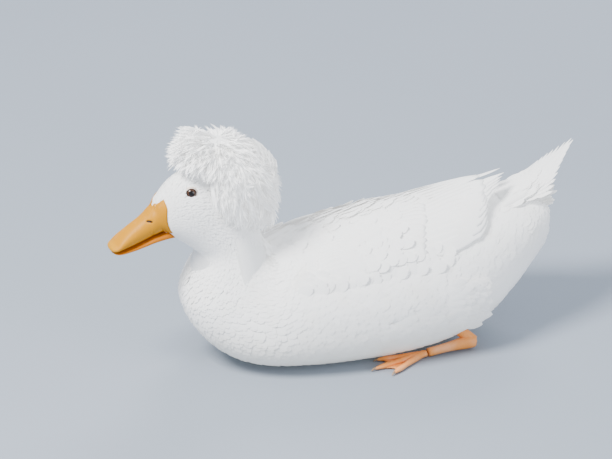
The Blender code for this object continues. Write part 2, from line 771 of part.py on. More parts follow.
def make_foot():
    """Three toes joined by webs, and the small hind toe."""
    start = TOE_JOINT + Vector((0, 0.0035 - 0.0095, -0.0012))
    tips = (INNER_TOE_TIP, MIDDLE_TOE_TIP, OUTER_TOE_TIP)
    pieces = []
    for tip in tips:
        middle = start.lerp(tip, 0.55)
        points = (start + Vector((0, 0.004, 0)), start, middle, start.lerp(tip, 0.86), tip)
        radii = (0.0042, 0.0044, TOE_RADIUS, TOE_RADIUS * 0.85, 0.0010)
        pieces.append(tube("toe", points, radii, sides=8, flat=0.85))
    for first, second in ((tips[0], tips[1]), (tips[1], tips[2])):
        top, bottom = [], []
        for i in range(5):
            along = 0.04 + 0.82 * i / 4
            top_row, bottom_row = [], []
            for j in range(4):
                across = j / 3
                sag = 0.86 - 0.10 * math.sin(math.pi * across)
                reach = along * sag / 0.86
                place = start.lerp(first.lerp(second, across), reach)
                top_row.append(Vector((place.x, place.y, 0.0028)))
                bottom_row.append(Vector((place.x, place.y, 0.0010)))
            top.append(top_row)
            bottom.append(bottom_row)
        pieces.append(sheet_solid("web", top, bottom))
    whole = joined("foot_left", pieces)
    resting = split_by_plane(whole, (0, 0, 0.0004), (0, 0, -1), "foot_left_flat")
    bpy.data.objects.remove(whole)
    resting.data.transform(Matrix.Translation((0, 0, -0.0004)))
    resting.name = "foot_left"
    return resting


def main():
    clear_scene()
    plumage = material("white_plumage", WHITE_PLUMAGE, 0.85)
    horn = material("bill_orange", BILL_ORANGE, 0.42)
    scaly = material("foot_orange", FOOT_ORANGE, 0.55)
    glossy = material("eye_brown", EYE_BROWN, 0.08)

    flesh = make_flesh()
    body = BodySurface(flesh)
    flesh_room = grown(flesh, GAP)
    torso, neck, head = part_flesh(flesh)
    flank = flank_vanes(body)
    torso = joined("torso", [torso] + flank + [mirrored(piece, "far_flank") for piece in flank])

    eye = ball("eye_left", EYE_CENTRE, EYE_RADIUS, segments=12)
    eye_room = ball("eye_room", EYE_CENTRE, EYE_RADIUS + GAP, segments=12)
    far_eye_room = mirrored(eye_room, "far_eye_room")
    lid = lid_ring()
    head = joined("head", [head, lid, mirrored(lid, "lid_right")])
    cut(head, eye_room)
    cut(head, far_eye_room)

    bill_upper, bill_lower = make_bill()
    for piece in (bill_upper, bill_lower):
        cut(piece, flesh_room)
    nostril = ball("nostril", NOSTRIL, 1.0, NOSTRIL_SIZE, segments=8)
    far_nostril = mirrored(nostril, "far_nostril")
    cut(bill_upper, nostril)
    cut(bill_upper, far_nostril)

    crest = make_crest(body)
    cut(crest, flesh_room, "MANIFOLD")

    both_sides = cut(make_wing(body), flesh_room)
    wing = keep_largest(split_by_plane(both_sides, (GAP / 2, 0, 0), (-1, 0, 0), "wing_left"))
    bpy.data.objects.remove(both_sides)
    wing.name = "wing_left"
    tail = cut(make_tail(), flesh_room)
    leg = cut(make_leg(), flesh_room)
    foot = cut(make_foot(), flesh_room)
    leg_room = grown(leg, GAP)
    cut(foot, leg_room)

    for piece in (torso, neck, head, crest, tail):
        paint(piece, plumage)
    for piece in (bill_upper, bill_lower):
        paint(piece, horn)
    for left, name, finish in (
        (wing, "wing_right", plumage),
        (leg, "leg_right", scaly),
        (foot, "foot_right", scaly),
        (eye, "eye_right", glossy),
    ):
        paint(left, finish)
        paint(mirrored(left, name), finish)
    for helper in (flesh, flesh_room, eye_room, far_eye_room, leg_room, nostril, far_nostril):
        bpy.data.objects.remove(helper)


main()
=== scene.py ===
# %% [markdown]
# # A white crested duck at rest
# A duck looks simple from afar, and is built in layers: a smooth body, a coat of thousands of small
# overlapping feathers, large stiff feathers in the wings and tail, and here a loose pompom on the head.
# This script keeps those layers apart. Each is a mesh of its own, around one shared form of the body.

import math

import bmesh
import bpy
import numpy as np
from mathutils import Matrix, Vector
from mathutils.bvhtree import BVHTree


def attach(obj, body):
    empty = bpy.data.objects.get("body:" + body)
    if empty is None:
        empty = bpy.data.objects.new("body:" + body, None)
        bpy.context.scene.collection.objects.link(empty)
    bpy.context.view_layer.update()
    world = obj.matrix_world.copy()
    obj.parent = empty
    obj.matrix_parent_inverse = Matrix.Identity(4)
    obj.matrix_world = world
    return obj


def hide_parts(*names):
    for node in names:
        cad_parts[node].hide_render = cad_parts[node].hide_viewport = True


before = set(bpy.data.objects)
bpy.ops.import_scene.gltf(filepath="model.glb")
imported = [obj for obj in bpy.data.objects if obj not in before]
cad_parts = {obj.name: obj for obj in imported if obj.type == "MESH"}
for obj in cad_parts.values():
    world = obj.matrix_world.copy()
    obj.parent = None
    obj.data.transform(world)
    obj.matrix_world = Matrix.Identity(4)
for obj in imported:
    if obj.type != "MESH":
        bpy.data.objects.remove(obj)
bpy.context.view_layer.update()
chance = np.random.default_rng(8)

# %% [markdown]
# Every material is drawn with sums on sockets. The small class below lets those sums be written as
# ordinary Python, so a finish reads like a recipe: a mask, a colour, another colour.

# %% Shader sums


class Shade:
    """A socket of a material, with the operators that shader sums need."""

    def __init__(self, recipe, socket):
        self.recipe, self.socket = recipe, socket

    def _sum(self, operation, first, second):
        return self.recipe.node("ShaderNodeMath", {"operation": operation}, (first, second))

    def __add__(self, other):
        return self._sum("ADD", self, other)

    def __radd__(self, other):
        return self._sum("ADD", other, self)

    def __sub__(self, other):
        return self._sum("SUBTRACT", self, other)

    def __rsub__(self, other):
        return self._sum("SUBTRACT", other, self)

    def __mul__(self, other):
        return self._sum("MULTIPLY", self, other)

    def __rmul__(self, other):
        return self._sum("MULTIPLY", other, self)


class Recipe:
    """One material: its nodes, and the Principled shader that they feed."""

    def __init__(self, name, **constants):
        self.material = bpy.data.materials.new(name)
        self.material.use_nodes = True
        self.nodes = self.material.node_tree.nodes
        self.links = self.material.node_tree.links
        self.shader = self.nodes["Principled BSDF"]
        for socket, value in constants.items():
            self.shader.inputs[socket.replace("_", " ")].default_value = value

    def node(self, kind, settings=None, values=(), out=0, **named):
        made = self.nodes.new(kind)
        for key, value in (settings or {}).items():
            setattr(made, key, value)
        for place, value in list(enumerate(values)) + list(named.items()):
            if value is None:
                continue
            socket = made.inputs[place.replace("_", " ") if isinstance(place, str) else place]
            if isinstance(value, Shade):
                self.links.new(value.socket, socket)
            else:
                socket.default_value = value
        return Shade(self, made.outputs[out])

    def coordinates(self):
        return self.node("ShaderNodeTexCoord", out="Object")

    def split(self, where, axis):
        return self.node("ShaderNodeSeparateXYZ", None, (where,), out=axis)

    def maths(self, operation, value):
        return self.node("ShaderNodeMath", {"operation": operation}, (value,))

    def vector_maths(self, operation, *values, out=0):
        return self.node("ShaderNodeVectorMath", {"operation": operation}, values, out)

    def noise(self, where, scale, detail=3.0):
        return self.node("ShaderNodeTexNoise", None, (), Vector=where, Scale=scale, Detail=detail)

    def step(self, value, low, high):
        return self.node("ShaderNodeMapRange", {"interpolation_type": "SMOOTHSTEP"}, (value, low, high))

    def blend(self, amount, first, second):
        made = self.nodes.new("ShaderNodeMix")
        made.data_type = "RGBA"
        for place, value in ((0, amount), (6, first), (7, second)):
            if isinstance(value, Shade):
                self.links.new(value.socket, made.inputs[place])
            else:
                made.inputs[place].default_value = (*value, 1) if place else value
        return Shade(self, made.outputs[2])

    def bump(self, height, strength, distance):
        return self.node("ShaderNodeBump", None, (), Strength=strength, Distance=distance, Height=height)

    def feed(self, **sockets):
        for name, value in sockets.items():
            self.links.new(value.socket, self.shader.inputs[name.replace("_", " ")])
        return self.material


# %% [markdown]
# White feathers aren't one flat white. They are warmer low on the body and under the crest, where
# they are a little stained, and cooler in between. Each blade also has fine barbs that run out from its
# quill, which only show as a soft grain. Light also passes through a coat of feathers from blade to
# blade, so its gaps aren't black: a faint glow of the same colour, painted light, lifts that shade.

# %% Plumage
def plumage(name, base, warm, grain, painted_glow):
    """A feather finish. Warm is its stained colour, grain its number of barbs and painted_glow the strength
    of its glow, painted light that lifts the shade between blades.
    """
    recipe = Recipe(name, Roughness=0.85, Specular_IOR_Level=0.25, Emission_Strength=painted_glow)
    where = recipe.coordinates()
    low = 1 - recipe.step(recipe.split(where, 2), 0.005, 0.075)
    cloud = recipe.noise(where, 38.0, 2.0)
    stain = low * 0.55 + recipe.step(cloud, 0.50, 0.85) * 0.22
    colour = recipe.blend(stain, base, warm)
    blade = recipe.node("ShaderNodeUVMap", {"uv_map": "blade"})
    middle = recipe.maths("ABSOLUTE", recipe.split(blade, 0) - 0.5)
    barbs = recipe.maths("SINE", (recipe.split(blade, 1) - middle * 0.9) * grain)
    quill = 1 - recipe.step(middle, 0.0, 0.045)
    height = barbs * 0.5 + quill * 0.8
    # The emission, in the feathers' own colour, is painted light that lifts the shade between blades.
    return recipe.feed(Base_Color=colour, Emission_Color=colour, Normal=recipe.bump(height, 0.10, 0.0002))


soft_white = (0.94, 0.94, 0.935)
stained_white = (0.80, 0.765, 0.66)
# The last number of each finish is the strength of its painted glow.
contour_finish = plumage("contour_feathers", soft_white, stained_white, 110.0, 0.16)
flight_finish = plumage("flight_feathers", (0.95, 0.95, 0.945), stained_white, 240.0, 0.14)
crest_finish = plumage("crest_feathers", (0.96, 0.96, 0.955), (0.90, 0.88, 0.80), 90.0, 0.20)

skin = Recipe("down", Roughness=0.95)
skin_cloud = skin.noise(skin.coordinates(), 260.0, 4.0)
down_finish = skin.feed(
    Base_Color=skin.blend(skin_cloud, (0.92, 0.92, 0.91), (0.95, 0.95, 0.945)),
    Normal=skin.bump(skin_cloud, 0.5, 0.0006),
)
print("plumage finishes", len(bpy.data.materials))

# %% [markdown]
# The body's form is a row of cross-sections from the rump to the bill. Each has a point on the back, a
# point on the belly and a half width, and a smooth curve runs through them. The same few numbers shape
# the solid model, so the coat made here fits over it.

# %% The body's cross-sections
SECTIONS = np.array(
    (
        (0.2270, 0.1120, 0.2270, 0.1120, 0.0000, 0.50, 2.2),
        (0.2225, 0.1345, 0.2210, 0.0880, 0.0290, 0.50, 2.2),
        (0.2070, 0.1415, 0.1990, 0.0650, 0.0450, 0.50, 2.2),
        (0.1800, 0.1430, 0.1710, 0.0400, 0.0620, 0.48, 2.2),
        (0.1430, 0.1425, 0.1380, 0.0175, 0.0780, 0.46, 2.2),
        (0.1000, 0.1395, 0.0980, 0.0045, 0.0900, 0.45, 2.2),
        (0.0500, 0.1350, 0.0500, -0.0020, 0.0940, 0.45, 2.2),
        (0.0000, 0.1295, 0.0000, -0.0030, 0.0935, 0.45, 2.2),
        (-0.0450, 0.1265, -0.0520, -0.0020, 0.0890, 0.45, 2.2),
        (-0.0700, 0.1245, -0.1030, 0.0030, 0.0800, 0.46, 2.2),
        (-0.0805, 0.1222, -0.1390, 0.0180, 0.0690, 0.48, 2.2),
        (-0.0845, 0.1215, -0.1650, 0.0460, 0.0580, 0.50, 2.1),
        (-0.0862, 0.1228, -0.1755, 0.0775, 0.0490, 0.50, 2.1),
        (-0.0875, 0.1275, -0.1690, 0.1030, 0.0415, 0.50, 2.0),
        (-0.0890, 0.1355, -0.1610, 0.1180, 0.0365, 0.50, 2.0),
        (-0.0920, 0.1470, -0.1590, 0.1265, 0.0335, 0.50, 2.0),
        (-0.0990, 0.1650, -0.1610, 0.1315, 0.0320, 0.48, 2.0),
        (-0.1080, 0.1870, -0.1665, 0.1365, 0.0312, 0.46, 1.9),
        (-0.1220, 0.2100, -0.1730, 0.1420, 0.0305, 0.44, 1.9),
        (-0.1430, 0.2245, -0.1800, 0.1475, 0.0295, 0.42, 1.8),
        (-0.1660, 0.2265, -0.1865, 0.1525, 0.0275, 0.42, 1.75),
        (-0.1850, 0.2190, -0.1930, 0.1570, 0.0240, 0.44, 1.8),
        (-0.1985, 0.2060, -0.1990, 0.1615, 0.0190, 0.46, 1.9),
        (-0.2080, 0.1930, -0.2050, 0.1660, 0.0130, 0.50, 2.0),
        (-0.2105, 0.1790, -0.2105, 0.1790, 0.0000, 0.50, 2.0),
    )
)
LAST = len(SECTIONS) - 1
SLOPES = np.gradient(SECTIONS, axis=0)
BELLY_SQUARENESS = 2.5


def between(first, last, start_slope, end_slope, t):
    """A smooth curve from first to last, with its slopes at both ends, at the share t of the way."""
    return (
        first * (1 + 2 * t) * (1 - t) ** 2
        + start_slope * t * (1 - t) ** 2
        + last * t * t * (3 - 2 * t)
        + end_slope * t * t * (t - 1)
    )


def section_at(s):
    """The cross-sections at places s along the row, as a smooth curve."""
    i = np.clip(np.floor(s).astype(int), 0, LAST - 1)
    return between(SECTIONS[i], SECTIONS[i + 1], SLOPES[i], SLOPES[i + 1], (s - i)[..., None])


def body_at(s, turn):
    """Points on the outer form: s along the body, turn round it from the left side upwards."""
    rows = section_at(s)
    back = np.stack([np.zeros_like(s), rows[..., 0], rows[..., 1]], -1)
    belly = np.stack([np.zeros_like(s), rows[..., 2], rows[..., 3]], -1)
    middle = belly + (back - belly) * rows[..., 5:6]
    sine, cosine = np.sin(turn), np.cos(turn)
    squareness = np.where(sine >= 0, rows[..., 6], BELLY_SQUARENESS)
    side = rows[..., 4] * np.sign(cosine) * np.abs(cosine) ** (2 / squareness)
    height = np.abs(sine) ** (2 / squareness)
    end = np.where((sine >= 0)[..., None], back, belly)
    places = middle + (end - middle) * height[..., None]
    places[..., 0] += side
    places[..., 2] = np.maximum(places[..., 2], 0.0)
    return places


def unit(vectors):
    return vectors / np.maximum(np.linalg.norm(vectors, axis=-1, keepdims=True), 1e-12)


def body_frame(s, turn):
    """Points on the form, with the outward direction and the lie of the coat towards the tail."""
    ds, dt = 0.02, 0.004
    place = body_at(s, turn)
    onward = body_at(np.clip(s + ds, 0.02, LAST - 0.01), turn)
    ahead = onward - body_at(np.clip(s - ds, 0, LAST - 0.02), turn)
    round_it = body_at(s, turn + dt) - body_at(s, turn - dt)
    out = unit(np.cross(round_it, ahead))
    centre = section_at(s)
    inner = place - np.stack(
        [np.zeros_like(s), (centre[..., 0] + centre[..., 2]) / 2, (centre[..., 1] + centre[..., 3]) / 2], -1
    )
    out = np.where((out * inner).sum(-1, keepdims=True) < 0, -out, out)
    lie = -unit(ahead - out * (ahead * out).sum(-1, keepdims=True))
    return place, out, lie


# How far the skin lies inside the form, by place along the row: deep on the body, thin on the face.
COAT_DEPTH = ((0, 2, 12, 17, 20, 23, 24), (0.0022, 0.0026, 0.0024, 0.0016, 0.0011, 0.0006, 0.0002))


def coat_depth(s):
    return np.interp(s, *COAT_DEPTH)


print("length of the form", SECTIONS[0, 0] - SECTIONS[-1, 0])

# %% [markdown]
# One seamless skin lies under the coat and takes the place of the solid torso, neck and head. It is a
# grid over the cross-sections, moved inwards by the depth of the coat.

# %% Meshes from arrays


def mesh_piece(name, points, faces, finish, blade=None, bake=None):
    """A mesh object from arrays. Blade and bake are UV places for each point."""
    mesh = bpy.data.meshes.new(name)
    faces = np.asarray(faces)
    mesh.vertices.add(len(points))
    mesh.vertices.foreach_set("co", np.asarray(points, np.float32).ravel())
    mesh.loops.add(faces.size)
    mesh.loops.foreach_set("vertex_index", faces.astype(np.int32).ravel())
    mesh.polygons.add(len(faces))
    mesh.polygons.foreach_set("loop_start", np.arange(len(faces), dtype=np.int32) * faces.shape[1])
    mesh.update(calc_edges=True)
    for title, places in (("OFBake", bake), ("blade", blade)):
        if places is not None:
            layer = mesh.uv_layers.new(name=title)
            layer.data.foreach_set("uv", np.asarray(places, np.float32)[faces.ravel()].ravel())
    mesh.polygons.foreach_set("use_smooth", np.ones(len(faces), bool))
    if finish:
        mesh.materials.append(finish)
    mesh.validate()
    piece = bpy.data.objects.new(name, mesh)
    bpy.context.scene.collection.objects.link(piece)
    return piece


def grid_faces(rows, columns, closed=True):
    """Quads over a grid of points, joined round if closed."""
    last = columns if closed else columns - 1
    i, j = np.meshgrid(np.arange(rows - 1), np.arange(last), indexing="ij")
    k = (j + 1) % columns
    here, onward = i * columns, (i + 1) * columns
    return np.stack([here + j, here + k, onward + k, onward + j], -1).reshape(-1, 4)


def form_of(places):
    """A grid of places, closed round, as a surface to find and cast on."""
    points = [Vector(place) for place in places.reshape(-1, 3)]
    return BVHTree.FromPolygons(points, grid_faces(*places.shape[:2]).tolist())


# Points closer than this are joined, or on fine pieces than the second.
COARSE, FINE = 1e-6, 1e-7


def merged(piece, distance=COARSE):
    """Closes poles and seams, and turns every face outwards."""
    mesh = bmesh.new()
    mesh.from_mesh(piece.data)
    bmesh.ops.remove_doubles(mesh, verts=mesh.verts, dist=distance)
    bmesh.ops.dissolve_degenerate(mesh, edges=mesh.edges, dist=distance / 10)
    bmesh.ops.recalc_face_normals(mesh, faces=mesh.faces)
    mesh.to_mesh(piece.data)
    mesh.free()
    return piece


skin_rows, skin_columns = 193, 96
skin_s, skin_turn = np.meshgrid(
    np.linspace(0, LAST, skin_rows), np.arange(skin_columns) * 2 * np.pi / skin_columns, indexing="ij"
)
skin_place, skin_out, _ = body_frame(skin_s, skin_turn)
skin_out[0], skin_out[-1] = (0, 1, 0), (0, -1, 0)
# On the body and neck the skin lies deeper still, clear of the feathers' roots.
skin_depth = coat_depth(skin_s) * np.interp(skin_s, (0, 16, 18, 24), (1.5, 1.5, 1.0, 1.0))
skin_points = skin_place - skin_out * skin_depth[..., None]
SKIN_ABOVE_FLOOR = 0.0006
skin_points[..., 2] = np.maximum(skin_points[..., 2], SKIN_ABOVE_FLOOR)
skin_piece = mesh_piece("skin", skin_points.reshape(-1, 3), grid_faces(skin_rows, skin_columns), down_finish)
merged(skin_piece)
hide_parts("torso", "neck", "head")
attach(skin_piece, "root")
form = form_of(skin_place)
print("skin", len(skin_piece.data.polygons), "faces")


def unwrap_at(places):
    """Where each place lies on the skin's own unwrap."""
    found = []
    for place in places:
        _, _, face, _ = form.find_nearest(Vector(place))
        row, column = divmod(face, skin_columns)
        found.append((0.02 + 0.96 * (column + 0.5) / skin_columns, 0.02 + 0.96 * (row + 0.5) / skin_rows))
    return np.array(found)


# %% [markdown]
# Small feathers repeat by the thousand, so they are set out with Geometry Nodes. The input is a cloud of
# root points. Each carries the way its feather aims, the way its face looks, its size and its width, and
# its place on the skin's unwrap. The tree turns each feather to its aim and makes the instances real.

# %% The feather field
FIELD_INPUTS = (
    ("Feather", "NodeSocketObject"),
    ("Finish", "NodeSocketMaterial"),
    ("Patch", "NodeSocketFloat"),
)


def feather_field():
    tree = bpy.data.node_groups.new("feather_field", "GeometryNodeTree")
    tree.interface.new_socket("Roots", in_out="INPUT", socket_type="NodeSocketGeometry")
    for title, kind in FIELD_INPUTS:
        tree.interface.new_socket(title, in_out="INPUT", socket_type=kind)
    tree.interface.new_socket("Feathers", in_out="OUTPUT", socket_type="NodeSocketGeometry")

    def node(kind, **settings):
        made = tree.nodes.new(kind)
        for key, value in settings.items():
            setattr(made, key, value)
        return made

    def attribute(title, kind):
        made = node("GeometryNodeInputNamedAttribute", data_type=kind)
        made.inputs["Name"].default_value = title
        return made.outputs["Attribute"]

    def link(source, target):
        tree.links.new(source, target)

    given, result = node("NodeGroupInput"), node("NodeGroupOutput")
    points = node("GeometryNodeMeshToPoints")
    link(given.outputs["Roots"], points.inputs["Mesh"])
    turn = node("FunctionNodeAxesToRotation", primary_axis="Y", secondary_axis="Z")
    link(attribute("aim", "FLOAT_VECTOR"), turn.inputs[0])
    link(attribute("face", "FLOAT_VECTOR"), turn.inputs[1])
    feather = node("GeometryNodeObjectInfo", transform_space="ORIGINAL")
    link(given.outputs["Feather"], feather.inputs["Object"])
    placed = node("GeometryNodeInstanceOnPoints")
    link(points.outputs["Points"], placed.inputs["Points"])
    link(feather.outputs["Geometry"], placed.inputs["Instance"])
    link(turn.outputs[0], placed.inputs["Rotation"])
    link(attribute("stretch", "FLOAT_VECTOR"), placed.inputs["Scale"])
    real = node("GeometryNodeRealizeInstances")
    link(placed.outputs["Instances"], real.inputs["Geometry"])
    shrink = node("ShaderNodeVectorMath", operation="SCALE")
    link(attribute("blade", "FLOAT_VECTOR"), shrink.inputs[0])
    link(given.outputs["Patch"], shrink.inputs["Scale"])
    patch = node("ShaderNodeVectorMath", operation="ADD")
    link(attribute("root", "FLOAT_VECTOR"), patch.inputs[0])
    link(shrink.outputs[0], patch.inputs[1])
    unwrapped = node("GeometryNodeStoreNamedAttribute", data_type="FLOAT2", domain="CORNER")
    unwrapped.inputs["Name"].default_value = "OFBake"
    link(real.outputs["Geometry"], unwrapped.inputs["Geometry"])
    link(patch.outputs[0], unwrapped.inputs["Value"])
    finished = node("GeometryNodeSetMaterial")
    link(unwrapped.outputs["Geometry"], finished.inputs["Geometry"])
    link(given.outputs["Finish"], finished.inputs["Material"])
    link(finished.outputs["Geometry"], result.inputs["Feathers"])
    return tree


field_tree = feather_field()
field_sockets = {s.name: s.identifier for s in field_tree.interface.items_tree if s.in_out == "INPUT"}
PATCH = 0.003


def grow(name, feather, finish, places, aims, faces, sizes, widths):
    """Sets one feather on each root and returns them all as one plain mesh piece."""
    count = len(places)
    cloud = bpy.data.meshes.new(name + "_roots")
    cloud.vertices.add(count)
    cloud.vertices.foreach_set("co", np.asarray(places, np.float32).ravel())
    stretch = np.stack([widths, sizes, sizes], -1)
    root = np.concatenate([unwrap_at(places), np.zeros((count, 1))], -1)
    for title, values in (("aim", aims), ("face", faces), ("stretch", stretch), ("root", root)):
        layer = cloud.attributes.new(title, "FLOAT_VECTOR", "POINT")
        layer.data.foreach_set("vector", np.asarray(values, np.float32).ravel())
    grower = bpy.data.objects.new(name + "_grower", cloud)
    bpy.context.scene.collection.objects.link(grower)
    modifier = grower.modifiers.new("field", "NODES")
    modifier.node_group = field_tree
    modifier[field_sockets["Feather"]] = feather
    modifier[field_sockets["Finish"]] = finish
    modifier[field_sockets["Patch"]] = PATCH
    bpy.context.view_layer.update()
    graph = bpy.context.evaluated_depsgraph_get()
    mesh = bpy.data.meshes.new_from_object(grower.evaluated_get(graph))
    for title in ("aim", "face", "stretch", "root"):
        if title in mesh.attributes:
            mesh.attributes.remove(mesh.attributes[title])
    bpy.data.objects.remove(grower)
    mesh.name = name
    mesh.polygons.foreach_set("use_smooth", np.ones(len(mesh.polygons), bool))
    piece = bpy.data.objects.new(name, mesh)
    bpy.context.scene.collection.objects.link(piece)
    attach(piece, "root")
    print(name, count, "feathers", len(mesh.polygons), "faces")
    return piece


# %% [markdown]
# A body feather is a short rounded blade. It rises from its root and bends back down, so that it hugs
# the body, and its tip is frayed where the barbs part. Only a few faces draw it, because it is repeated
# thousands of times.

# %% One body feather


def body_feather(name, ends, arch, fray):
    """A blade of length 1 along +Y, facing +Z. Ends are its half widths from root to tip."""
    rows = len(ends)
    points, uv = [], []
    for i, half in enumerate(ends):
        t = i / (rows - 1)
        for c in (-1, 0, 1):
            jag = 0.0
            if i == rows - 1:
                jag = -0.05 if c else fray
            drop = 0.10 * half * c * c
            points.append((half * c, t + jag, arch * math.sin(math.pi * t * 0.9) - drop))
            uv.append((0.5 + 0.5 * c, t))
    piece = mesh_piece(name, points, grid_faces(rows, 3, closed=False), None, blade=uv)
    piece.hide_render = True
    piece.hide_viewport = True
    return piece


contour = body_feather("contour_feather", (0.10, 0.25, 0.33, 0.33, 0.20), 0.040, 0.05)
face_feather = body_feather("face_feather", (0.14, 0.24, 0.22, 0.10), 0.03, 0.06)
templates = [contour, face_feather]

# %% [markdown]
# On a real duck the small feathers stand in slanting rows, each over the gap between two behind it. The
# rows below step along the body and round it, and each root is moved a little at random. They are
# shortest round the face and longest on the flanks and back.

# %% Roots over the body
EYE_CENTRE = np.array((0.0168, -0.1722, 0.2057))
EYE_RADIUS = 0.0066
# The length of the small feathers, by place along the row of cross-sections.
FEATHER_LENGTHS = (
    (0, 1.5, 3, 8, 11, 13, 15, 17, 19, 21, 24),
    (0.009, 0.014, 0.022, 0.021, 0.015, 0.011, 0.009, 0.0075, 0.0062, 0.0048, 0.0030),
)
# The bill's edge over the cheek, as heights and the furthest forward that the coat grows there.
CHEEK_LINE = (
    (0.160, 0.1685, 0.176, 0.192, 0.1995, 0.205),
    (-0.1925, -0.196, -0.1985, -0.1985, -0.2000, -0.230),
)
BROW_HALF_WIDTH = 0.0070


def length_round(s):
    """Length round the body at the place s, to set how many roots fit."""
    turn = np.linspace(0, 2 * np.pi, 49)
    places = body_at(np.full(49, float(s)), turn)
    return np.linalg.norm(np.diff(places, axis=0), axis=1).sum()


SECTION_STEP = 0.05


def coat_roots(start, end, spacing_along, spacing_round):
    """Staggered rows of roots from one section to another."""
    s_found, turn_found = [], []
    s, row = start, 0
    while s < end:
        onward = section_at(np.array(min(s + SECTION_STEP, LAST - 0.01)))
        moved = (onward - section_at(np.array(s)))[:4].reshape(2, 2)
        reach = np.hypot(*moved.T).mean() / SECTION_STEP
        count = max(6, int(length_round(s) / spacing_round(s)))
        turn = (np.arange(count) + 0.5 * (row % 2)) * 2 * np.pi / count
        s_found.append(np.full(count, s))
        turn_found.append(turn)
        s += spacing_along(s) / max(reach, 1e-4)
        row += 1
    return np.concatenate(s_found), np.concatenate(turn_found)


def feather_length(s):
    return np.interp(s, *FEATHER_LENGTHS)


def clear_of_eyes(places, aims, sizes):
    """Keeps the feathers that neither start in an eye nor lie across one."""
    keep = np.ones(len(places), bool)
    for side in (1, -1):
        eye = EYE_CENTRE * (side, 1, 1)
        for part in (0.0, 0.5, 1.0):
            away = (places + aims * (sizes * part)[:, None] - eye) * (1, 0.86, 1.12)
            keep &= np.linalg.norm(away, axis=1) > EYE_RADIUS + 0.0001
    return keep


def hug(spot, way, lift):
    """The nearest place on the form to a feather's tip, moved out by a small lift."""
    near, normal, _, _ = form.find_nearest(Vector(spot))
    if normal.dot(Vector(way)) < 0:
        normal = -normal
    return near + normal * lift


def clothe(name, start, end, feather, along, across, wide, lean):
    """Covers the form from one section to another. The spacings, the width and the lean are shares
    of a feather's length."""
    s, turn = coat_roots(
        start, end, lambda v: feather_length(v) * along, lambda v: feather_length(v) * across
    )
    s = np.clip(s + chance.normal(0, 0.05, len(s)), 0.05, LAST - 0.02)
    turn = turn + chance.normal(0, 0.02, len(s))
    place, out, lie = body_frame(s, turn)
    size = feather_length(s) * chance.uniform(0.88, 1.12, len(s))
    sideways = np.cross(out, lie) * chance.normal(0, 0.10, (len(s), 1))
    lifts = size * lean * chance.uniform(0.4, 1.4, len(s)) * (1 + 3 * np.exp(-s / 2))
    root = place - out * (coat_depth(s) * 0.8)[:, None]
    wanted = place + unit(lie + sideways) * size[:, None]
    tip = np.array([hug(*each) for each in zip(wanted, out, lifts)])
    aim = unit(tip - root)
    keep = clear_of_eyes(root, aim, size) & (root[:, 2] > 0.002)
    keep &= (root[:, 1] > np.interp(root[:, 2], *CHEEK_LINE)) | (np.abs(root[:, 0]) < BROW_HALF_WIDTH)
    keep &= tip[:, 2] > 0.0008
    return grow(
        name, feather, contour_finish, root[keep], aim[keep], out[keep], size[keep], (size * wide)[keep]
    )


clothe("coat_body", 0.25, 12.5, contour, 0.26, 0.30, 0.90, 0.012)
clothe("coat_neck", 12.3, 17.4, face_feather, 0.30, 0.30, 1.1, 0.022)
clothe("coat_head", 17.2, 23.75, face_feather, 0.34, 0.36, 1.05, 0.035)

# %% [markdown]
# Large feathers are stiff: a quill with a smooth vane on either side. One function makes any number of
# them from their quill lines. Each is a thin closed blade with a raised quill, rounded across, and its
# edge has nicks where the barbs have parted.

# %% Large feathers


def plate_faces(rows, columns):
    """The faces of one closed plate: a top grid, a bottom grid and the rim between them."""
    top = grid_faces(rows, columns, closed=False)
    shift = rows * columns
    rim = list(range(columns))
    rim += [i * columns + columns - 1 for i in range(1, rows)]
    rim += [(rows - 1) * columns + j for j in range(columns - 2, -1, -1)]
    rim += [i * columns for i in range(rows - 2, 0, -1)]
    sides = [(b, a, a + shift, b + shift) for a, b in zip(rim, rim[1:] + rim[:1])]
    return np.concatenate([top, top[:, ::-1] + shift, sides])


def facing_out(piece):
    """Turns every face of a closed piece outwards."""
    mesh = bmesh.new()
    mesh.from_mesh(piece.data)
    bmesh.ops.recalc_face_normals(mesh, faces=mesh.faces)
    mesh.to_mesh(piece.data)
    mesh.free()
    return piece


BLADE_COLUMNS = 7
BLADE_THICKNESS = 0.0005
BLADE_CROWN = 0.07
BLADE_FRAY = 0.35


